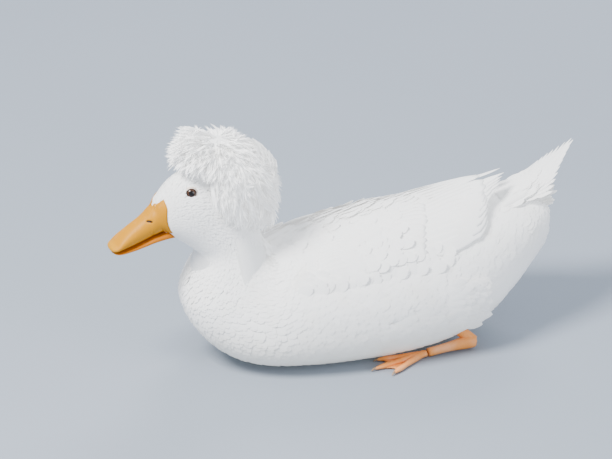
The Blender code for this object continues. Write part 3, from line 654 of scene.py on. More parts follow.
def blades(name, places, outs, widths, shape, tilt, finish):
    """Closed feather blades along the quill lines in places, whose faces look along outs."""
    (count, rows), columns = places.shape[:2], BLADE_COLUMNS
    ahead = np.gradient(places, axis=1)
    side = unit(np.cross(outs, ahead))
    out = unit(np.cross(ahead, side))
    tilt = np.broadcast_to(np.asarray(tilt, float), (count,))[:, None, None]
    side, out = side * np.cos(tilt) + out * np.sin(tilt), out * np.cos(tilt) - side * np.sin(tilt)
    across, along = np.linspace(-1, 1, columns), np.linspace(0, 1, rows)[:, None]
    half = np.asarray(widths, float)[:, None, None] / 2 * np.asarray(shape)[None, :, None]
    parted = chance.random((count, rows, 1)) < 0.06 + 0.30 * along ** 3
    nick = np.where(parted, chance.uniform(0.0, BLADE_FRAY, (count, rows, 1)), 0.0)
    spread = half * across * (1 - nick * np.abs(across) ** 4)
    deep = BLADE_THICKNESS * (1 - 0.55 * np.abs(across)) * (1 - 0.5 * along)
    ridge = 0.00022 * np.exp(-((across / 0.14) ** 2)) * (1 - along)
    middle = places[:, :, None] + side[:, :, None] * spread[..., None]
    middle = middle - out[:, :, None] * (BLADE_CROWN * half * across ** 2)[..., None]
    top = middle + out[:, :, None] * (deep / 2 + ridge)[None, ..., None]
    bottom = middle - out[:, :, None] * (deep / 2)[None, ..., None]
    points = np.stack([top, bottom], 1).reshape(-1, 3)
    one = plate_faces(rows, columns)
    faces = (one[None] + np.arange(count)[:, None, None] * 2 * rows * columns).reshape(-1, 4)
    blade = np.stack(np.broadcast_arrays(0.5 + 0.5 * across[None], along), -1).reshape(-1, 2)
    blade = np.tile(np.concatenate([blade, blade]), (count, 1))
    bake = np.repeat(unwrap_at(places[:, 0]), 2 * rows * columns, axis=0) + PATCH * blade
    piece = facing_out(mesh_piece(name, points, faces, finish, blade=blade, bake=bake))
    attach(piece, "root")
    print(name, count, "large feathers", len(faces), "faces")
    return piece


def plate(name, top, bottom, finish):
    """A closed plate between two grids of places."""
    rows, columns = top.shape[:2]
    points = np.concatenate([top.reshape(-1, 3), bottom.reshape(-1, 3)])
    bake = unwrap_at(points)
    piece = facing_out(mesh_piece(name, points, plate_faces(rows, columns), finish, bake=bake))
    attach(piece, "root")
    return piece


ROUNDED = ((0.0, 0.12, 0.50, 0.80, 0.92, 1.0), (0.45, 0.80, 1.00, 0.90, 0.64, 0.16))
POINTED = ((0.0, 0.12, 0.45, 0.75, 0.90, 1.0), (0.45, 0.80, 1.00, 0.74, 0.42, 0.06))


def outline(kind, rows):
    return np.interp(np.linspace(0, 1, rows), *kind)


# %% [markdown]
# The folded wing lies over the back like a roof. Its long flight feathers come out from under three
# rows of coverts, and each row covers the roots of the row behind it. Every place on the wing is found
# from how far back it is and how far across the wing, so that the feathers follow the body beneath.

# %% The wings
BODY_AXIS_HEIGHT = 0.068
VANE_TILT = 0.10
WING_LOWER_EDGE = (
    (-0.062, 0.000, 0.066, 0.100, 0.130, 0.148, 0.160, 0.180),
    (30, 31, 35, 38, 45, 55, 68, 76),
)
WING_UPPER_EDGE = ((-0.062, -0.030, 0.020, 0.070, 0.110, 0.180), (60, 74, 82, 86.5, 87.5, 88.0))
WING_PAD_END_Y = 0.118
WING_RISE = 0.0235
WING_RISE_END_Y = 0.172
# Each row's number of feathers, first and last place across the wing, first and last root y, first
# and last length, width, height over the wing's pad, and outline.
WING_ROWS = (
    (5, (0.46, 0.88), (0.094, 0.102), (0.074, 0.078), 0.0118, 0.0002, POINTED),
    (10, (0.04, 0.94), (0.050, 0.078), (0.095, 0.080), 0.0175, 0.0010, ROUNDED),
    (10, (0.05, 0.93), (0.010, 0.034), (0.060, 0.058), 0.0170, 0.0016, ROUNDED),
    (11, (0.05, 0.93), (-0.022, 0.000), (0.050, 0.052), 0.0155, 0.0021, ROUNDED),
    (11, (0.06, 0.90), (-0.050, -0.034), (0.046, 0.048), 0.0150, 0.0025, ROUNDED),
)


def on_body(y, angle, lift):
    """A place over the body by y and by angle up from level about the body's axis."""
    turn = math.radians(angle)
    out = Vector((math.cos(turn), 0, math.sin(turn)))
    place, normal, _, _ = form.ray_cast(Vector((0, y, BODY_AXIS_HEIGHT)) + out * 0.4, -out)
    if normal.dot(out) < 0:
        normal = -normal
    return np.array(place + (out * 0.7 + normal * 0.3).normalized() * lift)


def wing_place(y, across, lift):
    low, high = np.interp(y, *WING_LOWER_EDGE), np.interp(y, *WING_UPPER_EDGE)
    rise = WING_RISE * max(0.0, y / WING_RISE_END_Y) ** 2.2 * (0.15 + 0.85 * across)
    swell = 0.0030 * math.sin(math.pi * (0.08 + 0.84 * across))
    return on_body(y, low + (high - low) * across, 0.0010 + swell + rise + lift)


def wing_row(count, across_span, root_span, length_span, height, rows):
    """The quill lines of one row of wing feathers, and the way that each looks along its length."""
    places, outs = np.zeros((count, rows, 3)), np.zeros((count, rows, 3))
    for k in range(count):
        share = k / (count - 1)
        across = np.interp(share, (0, 1), across_span) + chance.normal(0, 0.006)
        root = np.interp(share, (0, 1), root_span)
        length = np.interp(share, (0, 1), length_span) * chance.uniform(0.97, 1.03)
        for i, t in enumerate(np.linspace(0, 1, rows)):
            level = height * (0.35 + 0.65 * t) * min(1.0, t / 0.28) - 0.0016 * (1 - t) ** 3
            places[k, i] = wing_place(root + length * t, across, level)
            outs[k, i] = wing_place(root + length * t, across, level + 0.002) - places[k, i]
    return places, unit(outs)


SIDES = (("left", np.array((1.0, 1.0, 1.0))), ("right", np.array((-1.0, 1.0, 1.0))))
ROW_NAMES = ("primaries", "secondaries", "greater", "median", "lesser")
pad_top, pad_under = np.zeros((30, 14, 3)), np.zeros((30, 14, 3))
for i, y in enumerate(np.linspace(-0.062, WING_PAD_END_Y, 30)):
    for j, across in enumerate(np.linspace(0, 1, 14)):
        low, high = np.interp(y, *WING_LOWER_EDGE), np.interp(y, *WING_UPPER_EDGE)
        pad_under[i, j] = on_body(y, low + (high - low) * across, -0.0026)
        front = min(1.0, 0.10 + i / 9)
        pad_top[i, j] = pad_under[i, j] + (wing_place(y, across, -0.0002) - pad_under[i, j]) * front
wing_lines = [wing_row(*row[:4], row[5], 13) for row in WING_ROWS]
for word, flip in SIDES:
    pad = plate("wing_pad_" + word, pad_top * flip, pad_under * flip, down_finish)
    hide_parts("wing_" + word)
    for (places, outs), row, title in zip(wing_lines, WING_ROWS, ROW_NAMES):
        widths = np.full(len(places), row[4]) * chance.uniform(0.95, 1.05, len(places))
        blades(
            f"{title}_{word}", places * flip, outs * flip, widths, outline(row[6], 13),
            flip[0] * VANE_TILT, flight_finish,
        )

# %% [markdown]
# Small feathers run on over the front of the wing, so that no line shows where it leaves the body. The
# last long feathers of each flank stand off from the body in a ragged tuft.

# %% The shoulders and the flanks


def lay(name, spots, flip, spread, sizes, rise=0.0):
    """Grows feathers on spots, each a root, the way along the body from it and the way out."""
    spots = np.array(spots)
    aims = unit(spots[:, 1]) + chance.normal(0, spread, (len(spots), 3)) + unit(spots[:, 2]) * rise
    sizes = chance.uniform(*sizes, len(spots))
    roots, outs = spots[:, 0] * flip, unit(spots[:, 2]) * flip
    grow(name, contour, contour_finish, roots, unit(aims) * flip, outs, sizes, sizes)


shoulder = []
for y in np.arange(-0.064, 0.050, 0.0042):
    low, high = np.interp(y, *WING_LOWER_EDGE), np.interp(y, *WING_UPPER_EDGE)
    count = int((high - low) * 0.105 / 0.45)
    for across in (np.arange(count) + chance.uniform(0.2, 0.8)) / count:
        if y > 0.012 and chance.random() < (y - 0.012) / 0.042:
            continue
        depth = 0.10 + (y + 0.062) / 0.180 * 30 / 9
        level = wing_place(y, across, 0.0026 if y > -0.03 else 0.0008)
        under = on_body(y, low + (high - low) * across, -0.0020)
        start = under + (level - under) * min(1.0, depth)
        onward = wing_place(y + 0.012, across, 0.0030)
        shoulder.append((start, onward - wing_place(y, across, 0.0027), level - under))
for word, flip in SIDES:
    lay("shoulder_" + word, shoulder, flip, 0.07, (0.016, 0.020), 0.05)

# Feathers of the flank that lap up over the lower edge of the wing.
tuck = []
for _ in range(300):
    y, angle_off = chance.uniform(-0.078, 0.086), chance.uniform(-11, 2)
    low = np.interp(y, *WING_LOWER_EDGE) + angle_off
    start = on_body(y, low, -0.0016)
    higher = np.interp(y + 0.020, *WING_LOWER_EDGE) + angle_off + 4.0
    onward = on_body(y + 0.020, higher, 0.0014 + 0.00016 * (angle_off + 11))
    tuck.append((start, onward - start, on_body(y, low, 0.004) - start))
for word, flip in SIDES:
    lay("tuck_" + word, tuck, flip, 0.10, (0.015, 0.021))


MANTLE_SWELL = ((-0.100, -0.070, -0.030, 0.060, 0.110), (-0.0014, 0.0004, 0.0042, 0.0072, 0.0082))


def mantle_place(y, angle, lift):
    """A place on the cushion of feathers that spans the back between the wings."""
    swell = np.interp(y, *MANTLE_SWELL)
    flat = 1 - 0.35 * (abs(angle - 90) / 38) ** 2
    return on_body(y, angle, swell * flat + lift)


mantle_top, mantle_under = np.zeros((26, 17, 3)), np.zeros((26, 17, 3))
for i, y in enumerate(np.linspace(-0.092, 0.078, 26)):
    narrow = 34 * min(1.0, (0.100 - y) / 0.060)
    for j, across in enumerate(np.linspace(-1, 1, 17)):
        mantle_top[i, j] = mantle_place(y, 90 + across * narrow, -0.0012 - 0.003 * abs(across) ** 4)
        mantle_under[i, j] = on_body(y, 90 + across * narrow, -0.0040)
plate("mantle_down", mantle_top, mantle_under, down_finish)
mantle = []
for row, y in enumerate(np.arange(-0.094, 0.082, 0.0046)):
    narrow = 40 * min(1.0, (0.106 - y) / 0.060)
    count = max(5, int(narrow * 0.62))
    for across in (np.arange(count) + 0.5 * (row % 2)) / count * 2 - 1:
        start = mantle_place(y, 90 + across * narrow, -0.0016)
        onward = mantle_place(y + 0.012, 90 + across * narrow, -0.0010)
        out = mantle_place(y, 90 + across * narrow, 0.002) - start
        mantle.append((start, onward - start, out))
lay("mantle", mantle, np.ones(3), 0.06, (0.019, 0.023))

# The loose tuft at the rear of each flank.
flank = []
for _ in range(170):
    y, angle = chance.uniform(0.078, 0.112), chance.uniform(-22, 10)
    start = on_body(y, angle, -0.0012)
    onward = on_body(y + 0.020, angle + chance.normal(3, 3), 0.0020 + 0.0035 * (y - 0.078) / 0.034)
    flank.append((start, onward - start, on_body(y, angle, 0.004) - start))
flank = np.array(flank)
flank_size = chance.uniform(0.021, 0.027, len(flank))
for word, flip in SIDES:
    roots, aims, outs = flank[:, 0] * flip, unit(flank[:, 1]) * flip, unit(flank[:, 2]) * flip
    grow("flank_" + word, contour, contour_finish, roots, aims, outs, flank_size, flank_size * 0.7)

# %% [markdown]
# The tail is a fan of pointed feathers that is nearly closed and curves up at its end. The middle pair
# lies on top. Soft coverts hide the roots above, and a cushion of down hides them below.

# %% The tail
TAIL_CURVE = ((0.172, 0.192, 0.224, 0.242, 0.260), (0.1415, 0.1480, 0.1610, 0.1745, 0.1945))
TAIL_INNER_TIP, TAIL_OUTER_TIP = np.array((0.0025, 0.2590, 0.1930)), np.array((0.0335, 0.2240, 0.1590))
TAIL_PAIRS = 9
TAIL_ROOT_Y = 0.188
fine_y = np.linspace(0.160, 0.262, 60)
fine_z = np.interp(fine_y, *TAIL_CURVE)
for _ in range(30):
    fine_z[1:-1] = (fine_z[:-2] + 2 * fine_z[1:-1] + fine_z[2:]) / 4


def tail_height(y):
    return np.interp(y, fine_y, fine_z)


tail_lines = []
for k in range(TAIL_PAIRS):
    share = k / (TAIL_PAIRS - 1)
    tip = TAIL_INNER_TIP + (TAIL_OUTER_TIP - TAIL_INNER_TIP) * share
    tip[1] -= 0.003 * math.sin(math.pi * share)
    for side in (1, -1):
        t = np.linspace(0, 1, 14)
        y = TAIL_ROOT_Y + (tip[1] - TAIL_ROOT_Y) * t
        x = side * (0.0008 + 0.0016 * k + (tip[0] - 0.0008 - 0.0016 * k) * t)
        z = tail_height(y) + (tip[2] - tail_height(tip[1])) * t * t - 0.0009 * k - (0.0004 if side < 0 else 0)
        outs = np.stack([np.full(14, side * 0.012 * k), -0.35 - 0.30 * t, np.ones(14)], -1)
        tail_lines.append((np.stack([x, y, z], -1), unit(outs), side))
tail_piece = blades(
    "tail_feathers",
    np.array([line[0] for line in tail_lines]),
    np.array([line[1] for line in tail_lines]),
    np.full(len(tail_lines), 0.0128),
    outline(POINTED, 14),
    np.array([0.10 * line[2] for line in tail_lines]),
    flight_finish,
)
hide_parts("tail")
stump_top, stump_under = np.zeros((14, 11, 3)), np.zeros((14, 11, 3))
for i, along in enumerate(np.linspace(0, 1, 14)):
    y = 0.172 + 0.042 * along
    for j, across in enumerate(np.linspace(-1, 1, 11)):
        z = tail_height(y) - 0.004 * across ** 2
        deep = 0.013 * (1 - along) * (1 - 0.6 * abs(across)) + 0.0012
        stump_top[i, j] = (across * 0.028 * (1 - 0.25 * along), y, z + 0.0012 * (1 - along))
        stump_under[i, j] = (across * 0.028 * (1 - 0.25 * along), y, z - deep)
plate("tail_stump", stump_top, stump_under, down_finish)

covert_roots, covert_aims, covert_faces, covert_sizes = [], [], [], []
for _ in range(420):
    y, across = chance.uniform(0.158, 0.214), chance.uniform(-1, 1)
    above = chance.random() < 0.55
    half = 0.030 * (1 - 0.4 * (y - 0.158) / 0.056)
    slope = (tail_height(y + 0.004) - tail_height(y)) / 0.004
    clear = -0.0010 if above else -0.0130 * (1 - (y - 0.158) / 0.056) - 0.0014
    covert_roots.append((across * half, y, tail_height(y) - 0.004 * across ** 2 + clear))
    aim = np.array((-across * 0.10, 1.0, slope + (0.06 if above else -0.02))) + chance.normal(0, 0.05, 3)
    covert_aims.append(aim)
    covert_faces.append((across * 0.25, -slope, 1.0) if above else (across * 0.25, slope, -1.0))
    covert_sizes.append((0.026 if above else 0.019) * chance.uniform(0.8, 1.1) * (1 - 0.25 * abs(across)))
for _ in range(420):
    y = chance.uniform(0.192, 0.221)
    low = np.interp(y, (0.190, 0.207, 0.2225), (0.1405, 0.1385, 0.1290))
    share = chance.uniform(0, 1)
    x = chance.uniform(-0.024, 0.024) * (1 - 0.3 * share)
    covert_roots.append((x, y, low + (tail_height(y) - 0.003 - low) * share))
    covert_aims.append(np.array((0, 1.0, 0.10 + 0.50 * share)) + chance.normal(0, 0.08, 3))
    covert_faces.append((0.0, 0.5, -1.0) if share > 0.5 else (0.0, 0.4, 1.0))
    covert_sizes.append(chance.uniform(0.012, 0.016) * (1.15 - 0.35 * (1 - share)))
covert_sizes = np.array(covert_sizes)
grow(
    "tail_coverts", contour, contour_finish, np.array(covert_roots), unit(np.array(covert_aims)),
    unit(np.array(covert_faces)), covert_sizes, covert_sizes * 0.9,
)

# %% [markdown]
# The crest is a loose pompom. Its plumes have no stiff vane, only thin strands that part as they leave
# the root, so light gets in between them. Each plume leaves the crown steeply and bends over, away from
# a whorl at the top. Its length is set so that its tip just reaches the crest's outline.

# %% Plumes


def plume(name, bend, spread, lean):
    """A loose tuft of length 1 along +Y, facing +Z: strands from one root that part and bend back."""
    points, faces, uv = [], [], []
    for k in range(5):
        share = (k - 2) / 2
        reach = 1 - 0.10 * abs(share) - 0.09 * (k % 2)
        curl = bend * (1 + 0.25 * share * lean)
        twist = 0.9 * share + lean * 0.3
        for i in range(5):
            t = i / 4
            half = (0.034, 0.062, 0.050, 0.028, 0.002)[i]
            centre = np.array((
                spread * share * t ** 1.3 + 0.05 * lean * t * t,
                reach * math.sin(curl * t) / curl,
                -reach * (1 - math.cos(curl * t)) / curl + 0.05 * (k % 2) * t,
            ))
            wide = np.array((math.cos(twist), 0.0, math.sin(twist))) * half
            points += [centre - wide, centre + wide]
            uv += [(0.1 + 0.2 * k - 0.08, t), (0.1 + 0.2 * k + 0.08, t)]
        first = k * 10
        faces += [(first + 2 * i, first + 2 * i + 1, first + 2 * i + 3, first + 2 * i + 2) for i in range(4)]
    piece = mesh_piece(name, points, faces, None, blade=uv)
    piece.hide_render = True
    piece.hide_viewport = True
    return piece


plumes = [
    plume("plume_soft", 0.55, 0.20, 1.0),
    plume("plume_curled", 1.15, 0.24, -1.0),
    plume("plume_straight", 0.25, 0.16, 0.4),
]
templates += plumes


def ball_ways(rows, columns):
    """Directions all round, in rows from the top down."""
    polar, turn = np.meshgrid(
        np.linspace(0, np.pi, rows), np.arange(columns) * 2 * np.pi / columns, indexing="ij"
    )
    ways = (np.sin(polar) * np.cos(turn), np.sin(polar) * np.sin(turn), np.cos(polar))
    return np.stack(ways, -1).reshape(-1, 3)


CREST_CENTRE = np.array((0.0, -0.128, 0.212))
CREST_WHORL = np.array((0.0, -0.17, 0.985))
CREST_HALF_WIDTH = 0.044
# The crest's reach from its centre in millimetres, by degrees up from the forward direction.
CREST_REACH = (
    (-90, -50, 0, 13, 24, 50, 72, 109, 136, 159, 186, 212, 232, 245, 270),
    (82, 76, 60, 61, 69, 73, 59, 47, 43.2, 47.8, 54, 65.2, 81, 80, 82),
)
MILLIMETRE = 0.001
# The crest's lower edge over the side of the face, as heights and how far forward it comes there.
CREST_FRONT = (
    (0.150, 0.161, 0.182, 0.191, 0.211, 0.222, 0.228, 0.232, 0.240, 0.252),
    (-0.100, -0.122, -0.144, -0.151, -0.152, -0.1535, -0.173, -0.190, -0.204, -0.212),
)


def crest_front(heights):
    return np.interp(heights, *CREST_FRONT)


def crest_turn(directions):
    turn = np.degrees(np.arctan2(directions[..., 2], -directions[..., 1]))
    return np.where(turn < -90, turn + 360, turn)


def crest_reach(directions):
    along = np.hypot(directions[..., 1], directions[..., 2])
    reach = np.interp(crest_turn(directions), *CREST_REACH) * MILLIMETRE
    return 1 / np.hypot(directions[..., 0] / CREST_HALF_WIDTH, along / reach)


def skin_distance(directions):
    """How far the skin is from the crest's centre in each direction."""
    found = []
    for direction in directions:
        place, _, _, far = form.ray_cast(Vector(CREST_CENTRE), Vector(direction))
        found.append(far if place else 0.02)
    return np.array(found)


def plume_set(name, directions, shares, tips, lean, template, sway, wide):
    """Plumes rooted at shares of the crest's reach, with tips at the given shares of it."""
    reach = crest_reach(directions)
    root = CREST_CENTRE + directions * (reach * shares)[:, None]
    lie = directions - CREST_WHORL
    lie = unit(lie - directions * (lie * directions).sum(-1, keepdims=True))
    lie = unit(lie + chance.normal(0, sway, lie.shape))
    aim = unit(directions * np.cos(lean)[:, None] + lie * np.sin(lean)[:, None])
    size = np.full(len(root), 0.018)
    for _ in range(6):
        tip = root + aim * (size * 0.88)[:, None] - directions * (size * 0.16)[:, None]
        away = tip - CREST_CENTRE
        far = np.linalg.norm(away, axis=-1)
        wanted = crest_reach(unit(away)) * tips
        size = np.clip(size + (wanted - far) * 1.1, 0.009, 0.046)
    keep = tip[:, 2] > 0.149
    for place, spare in ((tip, 0.0), (root, 0.001), (root * 0.4 + tip * 0.6, 0.0)):
        keep &= place[:, 1] > crest_front(place[:, 2]) + spare
    return grow(
        name, template, crest_finish, root[keep], aim[keep], directions[keep], size[keep], (size * wide)[keep]
    )


# %% [markdown]
# Three sets of plumes fill the pompom from the inside out, over a soft core. Behind the crown one lock
# curls away by itself, with a dark gap under it, and a fringe of wisps turns up over the forehead.

# %% The crest
CORE_SHARE = 0.80
core_rows, core_columns = 40, 56
core_ways = ball_ways(core_rows, core_columns)
core_reach = np.maximum(skin_distance(core_ways) + 0.001, crest_reach(core_ways) * CORE_SHARE)
core_spots = CREST_CENTRE + core_ways * core_reach[:, None]
bare = (core_spots[:, 1] < crest_front(core_spots[:, 2]) + 0.008) | (core_spots[:, 2] < 0.158)
core_reach[bare] = skin_distance(core_ways[bare]) - 0.006
core_points = CREST_CENTRE + core_ways * core_reach[:, None]
core_faces = grid_faces(core_rows, core_columns)
crest_core = mesh_piece("crest_core", core_points, core_faces, down_finish, bake=unwrap_at(core_points))
merged(crest_core)
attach(crest_core, "root")
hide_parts("crest")

for title, count, shares, tips, lean, template, sway, wide in (
    ("crest_inner", 1700, (0.60, 0.76), (0.86, 0.96), (0.80, 1.15), 0, 0.30, 0.95),
    ("crest_middle", 2300, (0.68, 0.82), (0.91, 1.00), (0.90, 1.25), 1, 0.38, 0.90),
    ("crest_outer", 1700, (0.72, 0.86), (0.93, 1.02), (0.90, 1.30), 2, 0.45, 0.75),
):
    ways = unit(chance.normal(0, 1, (count, 3)))
    plume_set(
        title, ways, chance.uniform(*shares, count), chance.uniform(*tips, count),
        chance.uniform(*lean, count), plumes[template], sway, wide,
    )


def ways_at(turns, sides):
    return unit(np.stack([sides, -np.cos(turns), np.sin(turns)], -1))


# The single lock behind the crown, and the fringe over the forehead.
curl_turn = np.radians(chance.uniform(126, 176, 190))
curl_side = chance.normal(0.16, 0.16, 190)
curl_ways = ways_at(curl_turn, curl_side)
curl_reach = crest_reach(curl_ways) * chance.uniform(0.98, 1.10, 190)
curl_aim = np.stack([curl_side * 0.2, np.sin(curl_turn), np.cos(curl_turn)], -1)
curl_aim += chance.normal(0, 0.10, (190, 3))
curl_size = chance.uniform(0.012, 0.019, 190)
grow(
    "crest_curl", plumes[1], crest_finish, CREST_CENTRE + curl_ways * curl_reach[:, None],
    unit(curl_aim), curl_ways, curl_size, curl_size * 0.55,
)

fringe_turn = np.radians(chance.uniform(18, 66, 420))
fringe_ways = ways_at(fringe_turn, chance.uniform(-0.75, 0.75, 420))
fringe_reach = crest_reach(fringe_ways)
fringe_root = CREST_CENTRE + fringe_ways * (fringe_reach * chance.uniform(0.66, 0.84, 420))[:, None]
fringe_aim = unit(fringe_ways + np.array((0.0, -0.35, 0.15)) + chance.normal(0, 0.22, (420, 3)))
fringe_size = fringe_reach * chance.uniform(0.16, 0.27, 420)
keep = fringe_root[:, 2] > 0.242
grow(
    "crest_fringe", plumes[0], crest_finish, fringe_root[keep], fringe_aim[keep],
    np.array((0, 0, 0.4)) - fringe_ways[keep], fringe_size[keep], fringe_size[keep] * 0.65,
)

# %% [markdown]
# The bill is a smooth horny sheath: deep at its base, low and broad towards the tip, with a hard nail
# at the end and a slit of a nostril on each side, whose dark inside is painted shade. It is darker and
# redder towards its lower edge, and a few pale pinkish patches show where the sheath is thin.

# %% The bill
NOSTRIL = np.array((0.0098, -0.2157, 0.1770))


def finer(rows, steps):
    """A smooth curve through rows of numbers, with steps points for each span."""
    rows = np.array(rows, float)
    slopes = np.gradient(rows, axis=0)
    t = (np.arange(steps) / steps)[None, :, None]
    found = between(rows[:-1, None], rows[1:, None], slopes[:-1, None], slopes[1:, None], t)
    return np.concatenate([found.reshape(-1, rows.shape[1]), rows[-1:]])


def bill_points(rows, squareness, around):
    """A grid over one half of the bill. Each row is y, its lowest and highest z, and its half width."""
    y, low, high, half = [column[:, None] for column in finer(rows, 12).T]
    angle = np.arange(around) * 2 * np.pi / around
    sine, cosine = np.sin(angle), np.cos(angle)
    x = half * np.sign(cosine) * np.abs(cosine) ** (2 / squareness)
    z = (low + high) / 2 + (high - low) / 2 * np.sign(sine) * np.abs(sine) ** (2 / squareness)
    return np.stack([x, y + 0 * x, z], -1)


upper = bill_points(
    (
        (-0.1850, 0.1625, 0.1880, 0.0120),
        (-0.1960, 0.1615, 0.1905, 0.0138),
        (-0.2090, 0.1575, 0.1898, 0.0140),
        (-0.2200, 0.1530, 0.1800, 0.0126),
        (-0.2330, 0.1488, 0.1708, 0.0126),
        (-0.2450, 0.1464, 0.1612, 0.0134),
        (-0.2510, 0.1455, 0.1550, 0.0128),
        (-0.2552, 0.1462, 0.1518, 0.0094),
        (-0.2570, 0.1480, 0.1492, 0.0030),
    ),
    2.1,
    64,
)
for side in (1, -1):
    away = (upper - NOSTRIL * (side, 1, 1)) / (0.0060, 0.0034, 0.0013)
    apart = (away ** 2).sum(-1)
    upper -= (side * 0.0016, 0, 0) * np.exp(-apart ** 2)[..., None]
    rim = np.exp(-((np.sqrt(apart) - 1.5) / 0.35) ** 2) * (np.abs(upper[..., 0]) > 0.004)
    upper += (side * 0.00025, 0, 0.0001) * rim[..., None] * (np.sign(upper[..., :1]) == side)
nail = np.exp(-((upper[..., 0] / 0.0050) ** 4)) * np.clip((-upper[..., 1] - 0.2475) / 0.0020, 0, 1)
upper[..., 2] += 0.0006 * nail * (upper[..., 2] > 0.1475)
lower = bill_points(
    (
        (-0.1830, 0.1530, 0.1615, 0.0120),
        (-0.1960, 0.1520, 0.1608, 0.0124),
        (-0.2090, 0.1495, 0.1571, 0.0112),
        (-0.2200, 0.1465, 0.1526, 0.0104),
        (-0.2330, 0.1438, 0.1484, 0.0104),
        (-0.2450, 0.1425, 0.1460, 0.0108),
        (-0.2510, 0.1428, 0.1451, 0.0092),
        (-0.2540, 0.1438, 0.1449, 0.0040),
    ),
    2.6,
    56,
)
bill = Recipe("bill_sheath", Roughness=0.50, Specular_IOR_Level=0.18, Coat_Weight=0.04, Coat_Roughness=0.30)
where = bill.coordinates()
ahead = bill.split(where, 1)
# Darker and redder towards the bottom of the bill, along its lower edge.
edge = 1 - bill.step(bill.split(where, 2) + (ahead + 0.196) * -0.30, 0.1600, 0.1660)
tip = 1 - bill.step(ahead, -0.2550, -0.2490)
patches = bill.step(bill.noise(where, 120.0, 2.0), 0.60, 0.70)
fine = bill.noise(where, 900.0, 3.0)
colour = bill.blend(edge * 0.55, (0.54, 0.225, 0.0), (0.47, 0.095, 0.0))
colour = bill.blend(patches * 0.25, colour, (0.68, 0.28, 0.07))
colour = bill.blend(tip * 0.30, colour, (0.66, 0.34, 0.01))
# Each nostril's dark inside is painted shade: a near-black oval over the shallow dent in the sheath.
nostril_shade = None
for side in (1, -1):
    spot = bill.vector_maths("SUBTRACT", where, tuple(NOSTRIL * (side, 1, 1)))
    spot = bill.vector_maths("MULTIPLY", spot, (150.0, 330.0, 900.0))
    far = bill.vector_maths("LENGTH", spot, out=1)
    nostril_shade_spot = 1 - bill.step(far, 0.85, 1.15)
    nostril_shade = nostril_shade_spot if nostril_shade is None else nostril_shade + nostril_shade_spot
colour = bill.blend(nostril_shade, colour, (0.03, 0.012, 0.006))
bill_finish = bill.feed(Base_Color=colour, Normal=bill.bump(fine, 0.12, 0.0002))
for title, points in (("bill_upper", upper), ("bill_lower", lower)):
    rows, columns = points.shape[:2]
    ends = points[[0, -1]].mean(1, keepdims=True).repeat(columns, 1)
    closed = np.concatenate([ends[:1], points, ends[1:]]).reshape(-1, 3)
    piece = merged(mesh_piece(title + "_sheath", closed, grid_faces(rows + 2, columns), bill_finish))
    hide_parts(title)
    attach(piece, "root")
    print(piece.name, len(piece.data.polygons), "faces")

# %% [markdown]
# On each side the sheath runs back over the cheek in a point, with a hollow edge below it that curves
# down to the corner of the mouth. It is a thin plate laid over both the head and the bill.

# %% The bill's root over the cheeks
# From the top down: y and z on the plate's rear edge over the cheek, and on its front edge.
ROOT_EDGES = finer(
    (
        (-0.2000, 0.1995, -0.2085, 0.1925),
        (-0.1985, 0.1920, -0.2120, 0.1865),
        (-0.1990, 0.1840, -0.2150, 0.1790),
        (-0.1985, 0.1760, -0.2150, 0.1710),
        (-0.1960, 0.1685, -0.2140, 0.1640),
        (-0.1925, 0.1630, -0.2120, 0.1585),
    ),
    4,
)
ROOT_COLUMNS = 10
bill_form = form_of(upper)


def side_reach(y, z):
    """How far the outermost of the head and the bill stands from the midline at a height and a place."""
    found = [0.004]
    for surface in (form, bill_form):
        place, _, _, _ = surface.ray_cast(Vector((0.2, y, z)), Vector((-1, 0, 0)))
        if place:
            found.append(place.x)
    return max(found)


cheek_top, cheek_under = np.zeros((2, len(ROOT_EDGES), ROOT_COLUMNS, 3))
for i, edges in enumerate(ROOT_EDGES):
    for j, share in enumerate(np.linspace(0, 1, ROOT_COLUMNS)):
        y, z = edges[:2] + (edges[2:] - edges[:2]) * share
        reach = side_reach(y, z)
        cheek_top[i, j] = (reach + 0.0007 * min(1.0, 4 * share) * min(1.0, 3 * (1 - share)), y, z)
        cheek_under[i, j] = (reach - 0.0012, y, z)
for word, flip in SIDES:
    points = np.concatenate([cheek_top.reshape(-1, 3), cheek_under.reshape(-1, 3)]) * flip
    faces = plate_faces(len(ROOT_EDGES), ROOT_COLUMNS)
    piece = facing_out(mesh_piece("bill_root_" + word, points, faces, bill_finish))
    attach(piece, "root")
print("bill root", len(ROOT_EDGES), "rows on each side")

# %% [markdown]
# The eyes are set deep and look a little forward and up. Each is a glossy ball, nearly black with a thin
# brown ring, behind a rim of bare skin that is longer than it is tall.

# %% The eyes and their lids
EYE_OUTWARD = unit(np.array((0.93, -0.20, 0.30)))
LID_HALF_LENGTH, LID_HALF_HEIGHT = 0.0057, 0.0050
# The lid's section, from its hidden inner edge outwards: how far out as a share of the opening, and
# how far off the ball.
LID_RINGS = (
    (1.30, -0.0016), (0.98, -0.0002), (0.97, 0.0003), (1.00, 0.0006), (1.08, 0.0006),
    (1.18, 0.0002), (1.32, -0.0008), (1.48, -0.0026), (1.55, -0.0050),
)
LID_COLUMNS = 56
eye = Recipe("eye_gloss", Roughness=0.06, Specular_IOR_Level=0.25, Coat_Weight=0.40, Coat_Roughness=0.02)
where = eye.coordinates()
mirrored = (eye.maths("ABSOLUTE", eye.split(where, 0)), eye.split(where, 1), eye.split(where, 2))
folded = eye.node("ShaderNodeCombineXYZ", None, mirrored)
pupil = tuple(EYE_CENTRE + EYE_OUTWARD * EYE_RADIUS)
far = eye.vector_maths("DISTANCE", folded, pupil, out=1)
iris = eye.step(far, 0.0027, 0.0031) * (1 - eye.step(far, 0.0044, 0.0054))
eye_finish = eye.feed(Base_Color=eye.blend(iris, (0.004, 0.003, 0.003), (0.050, 0.020, 0.009)))
lid = Recipe("lid_skin", Roughness=0.6)
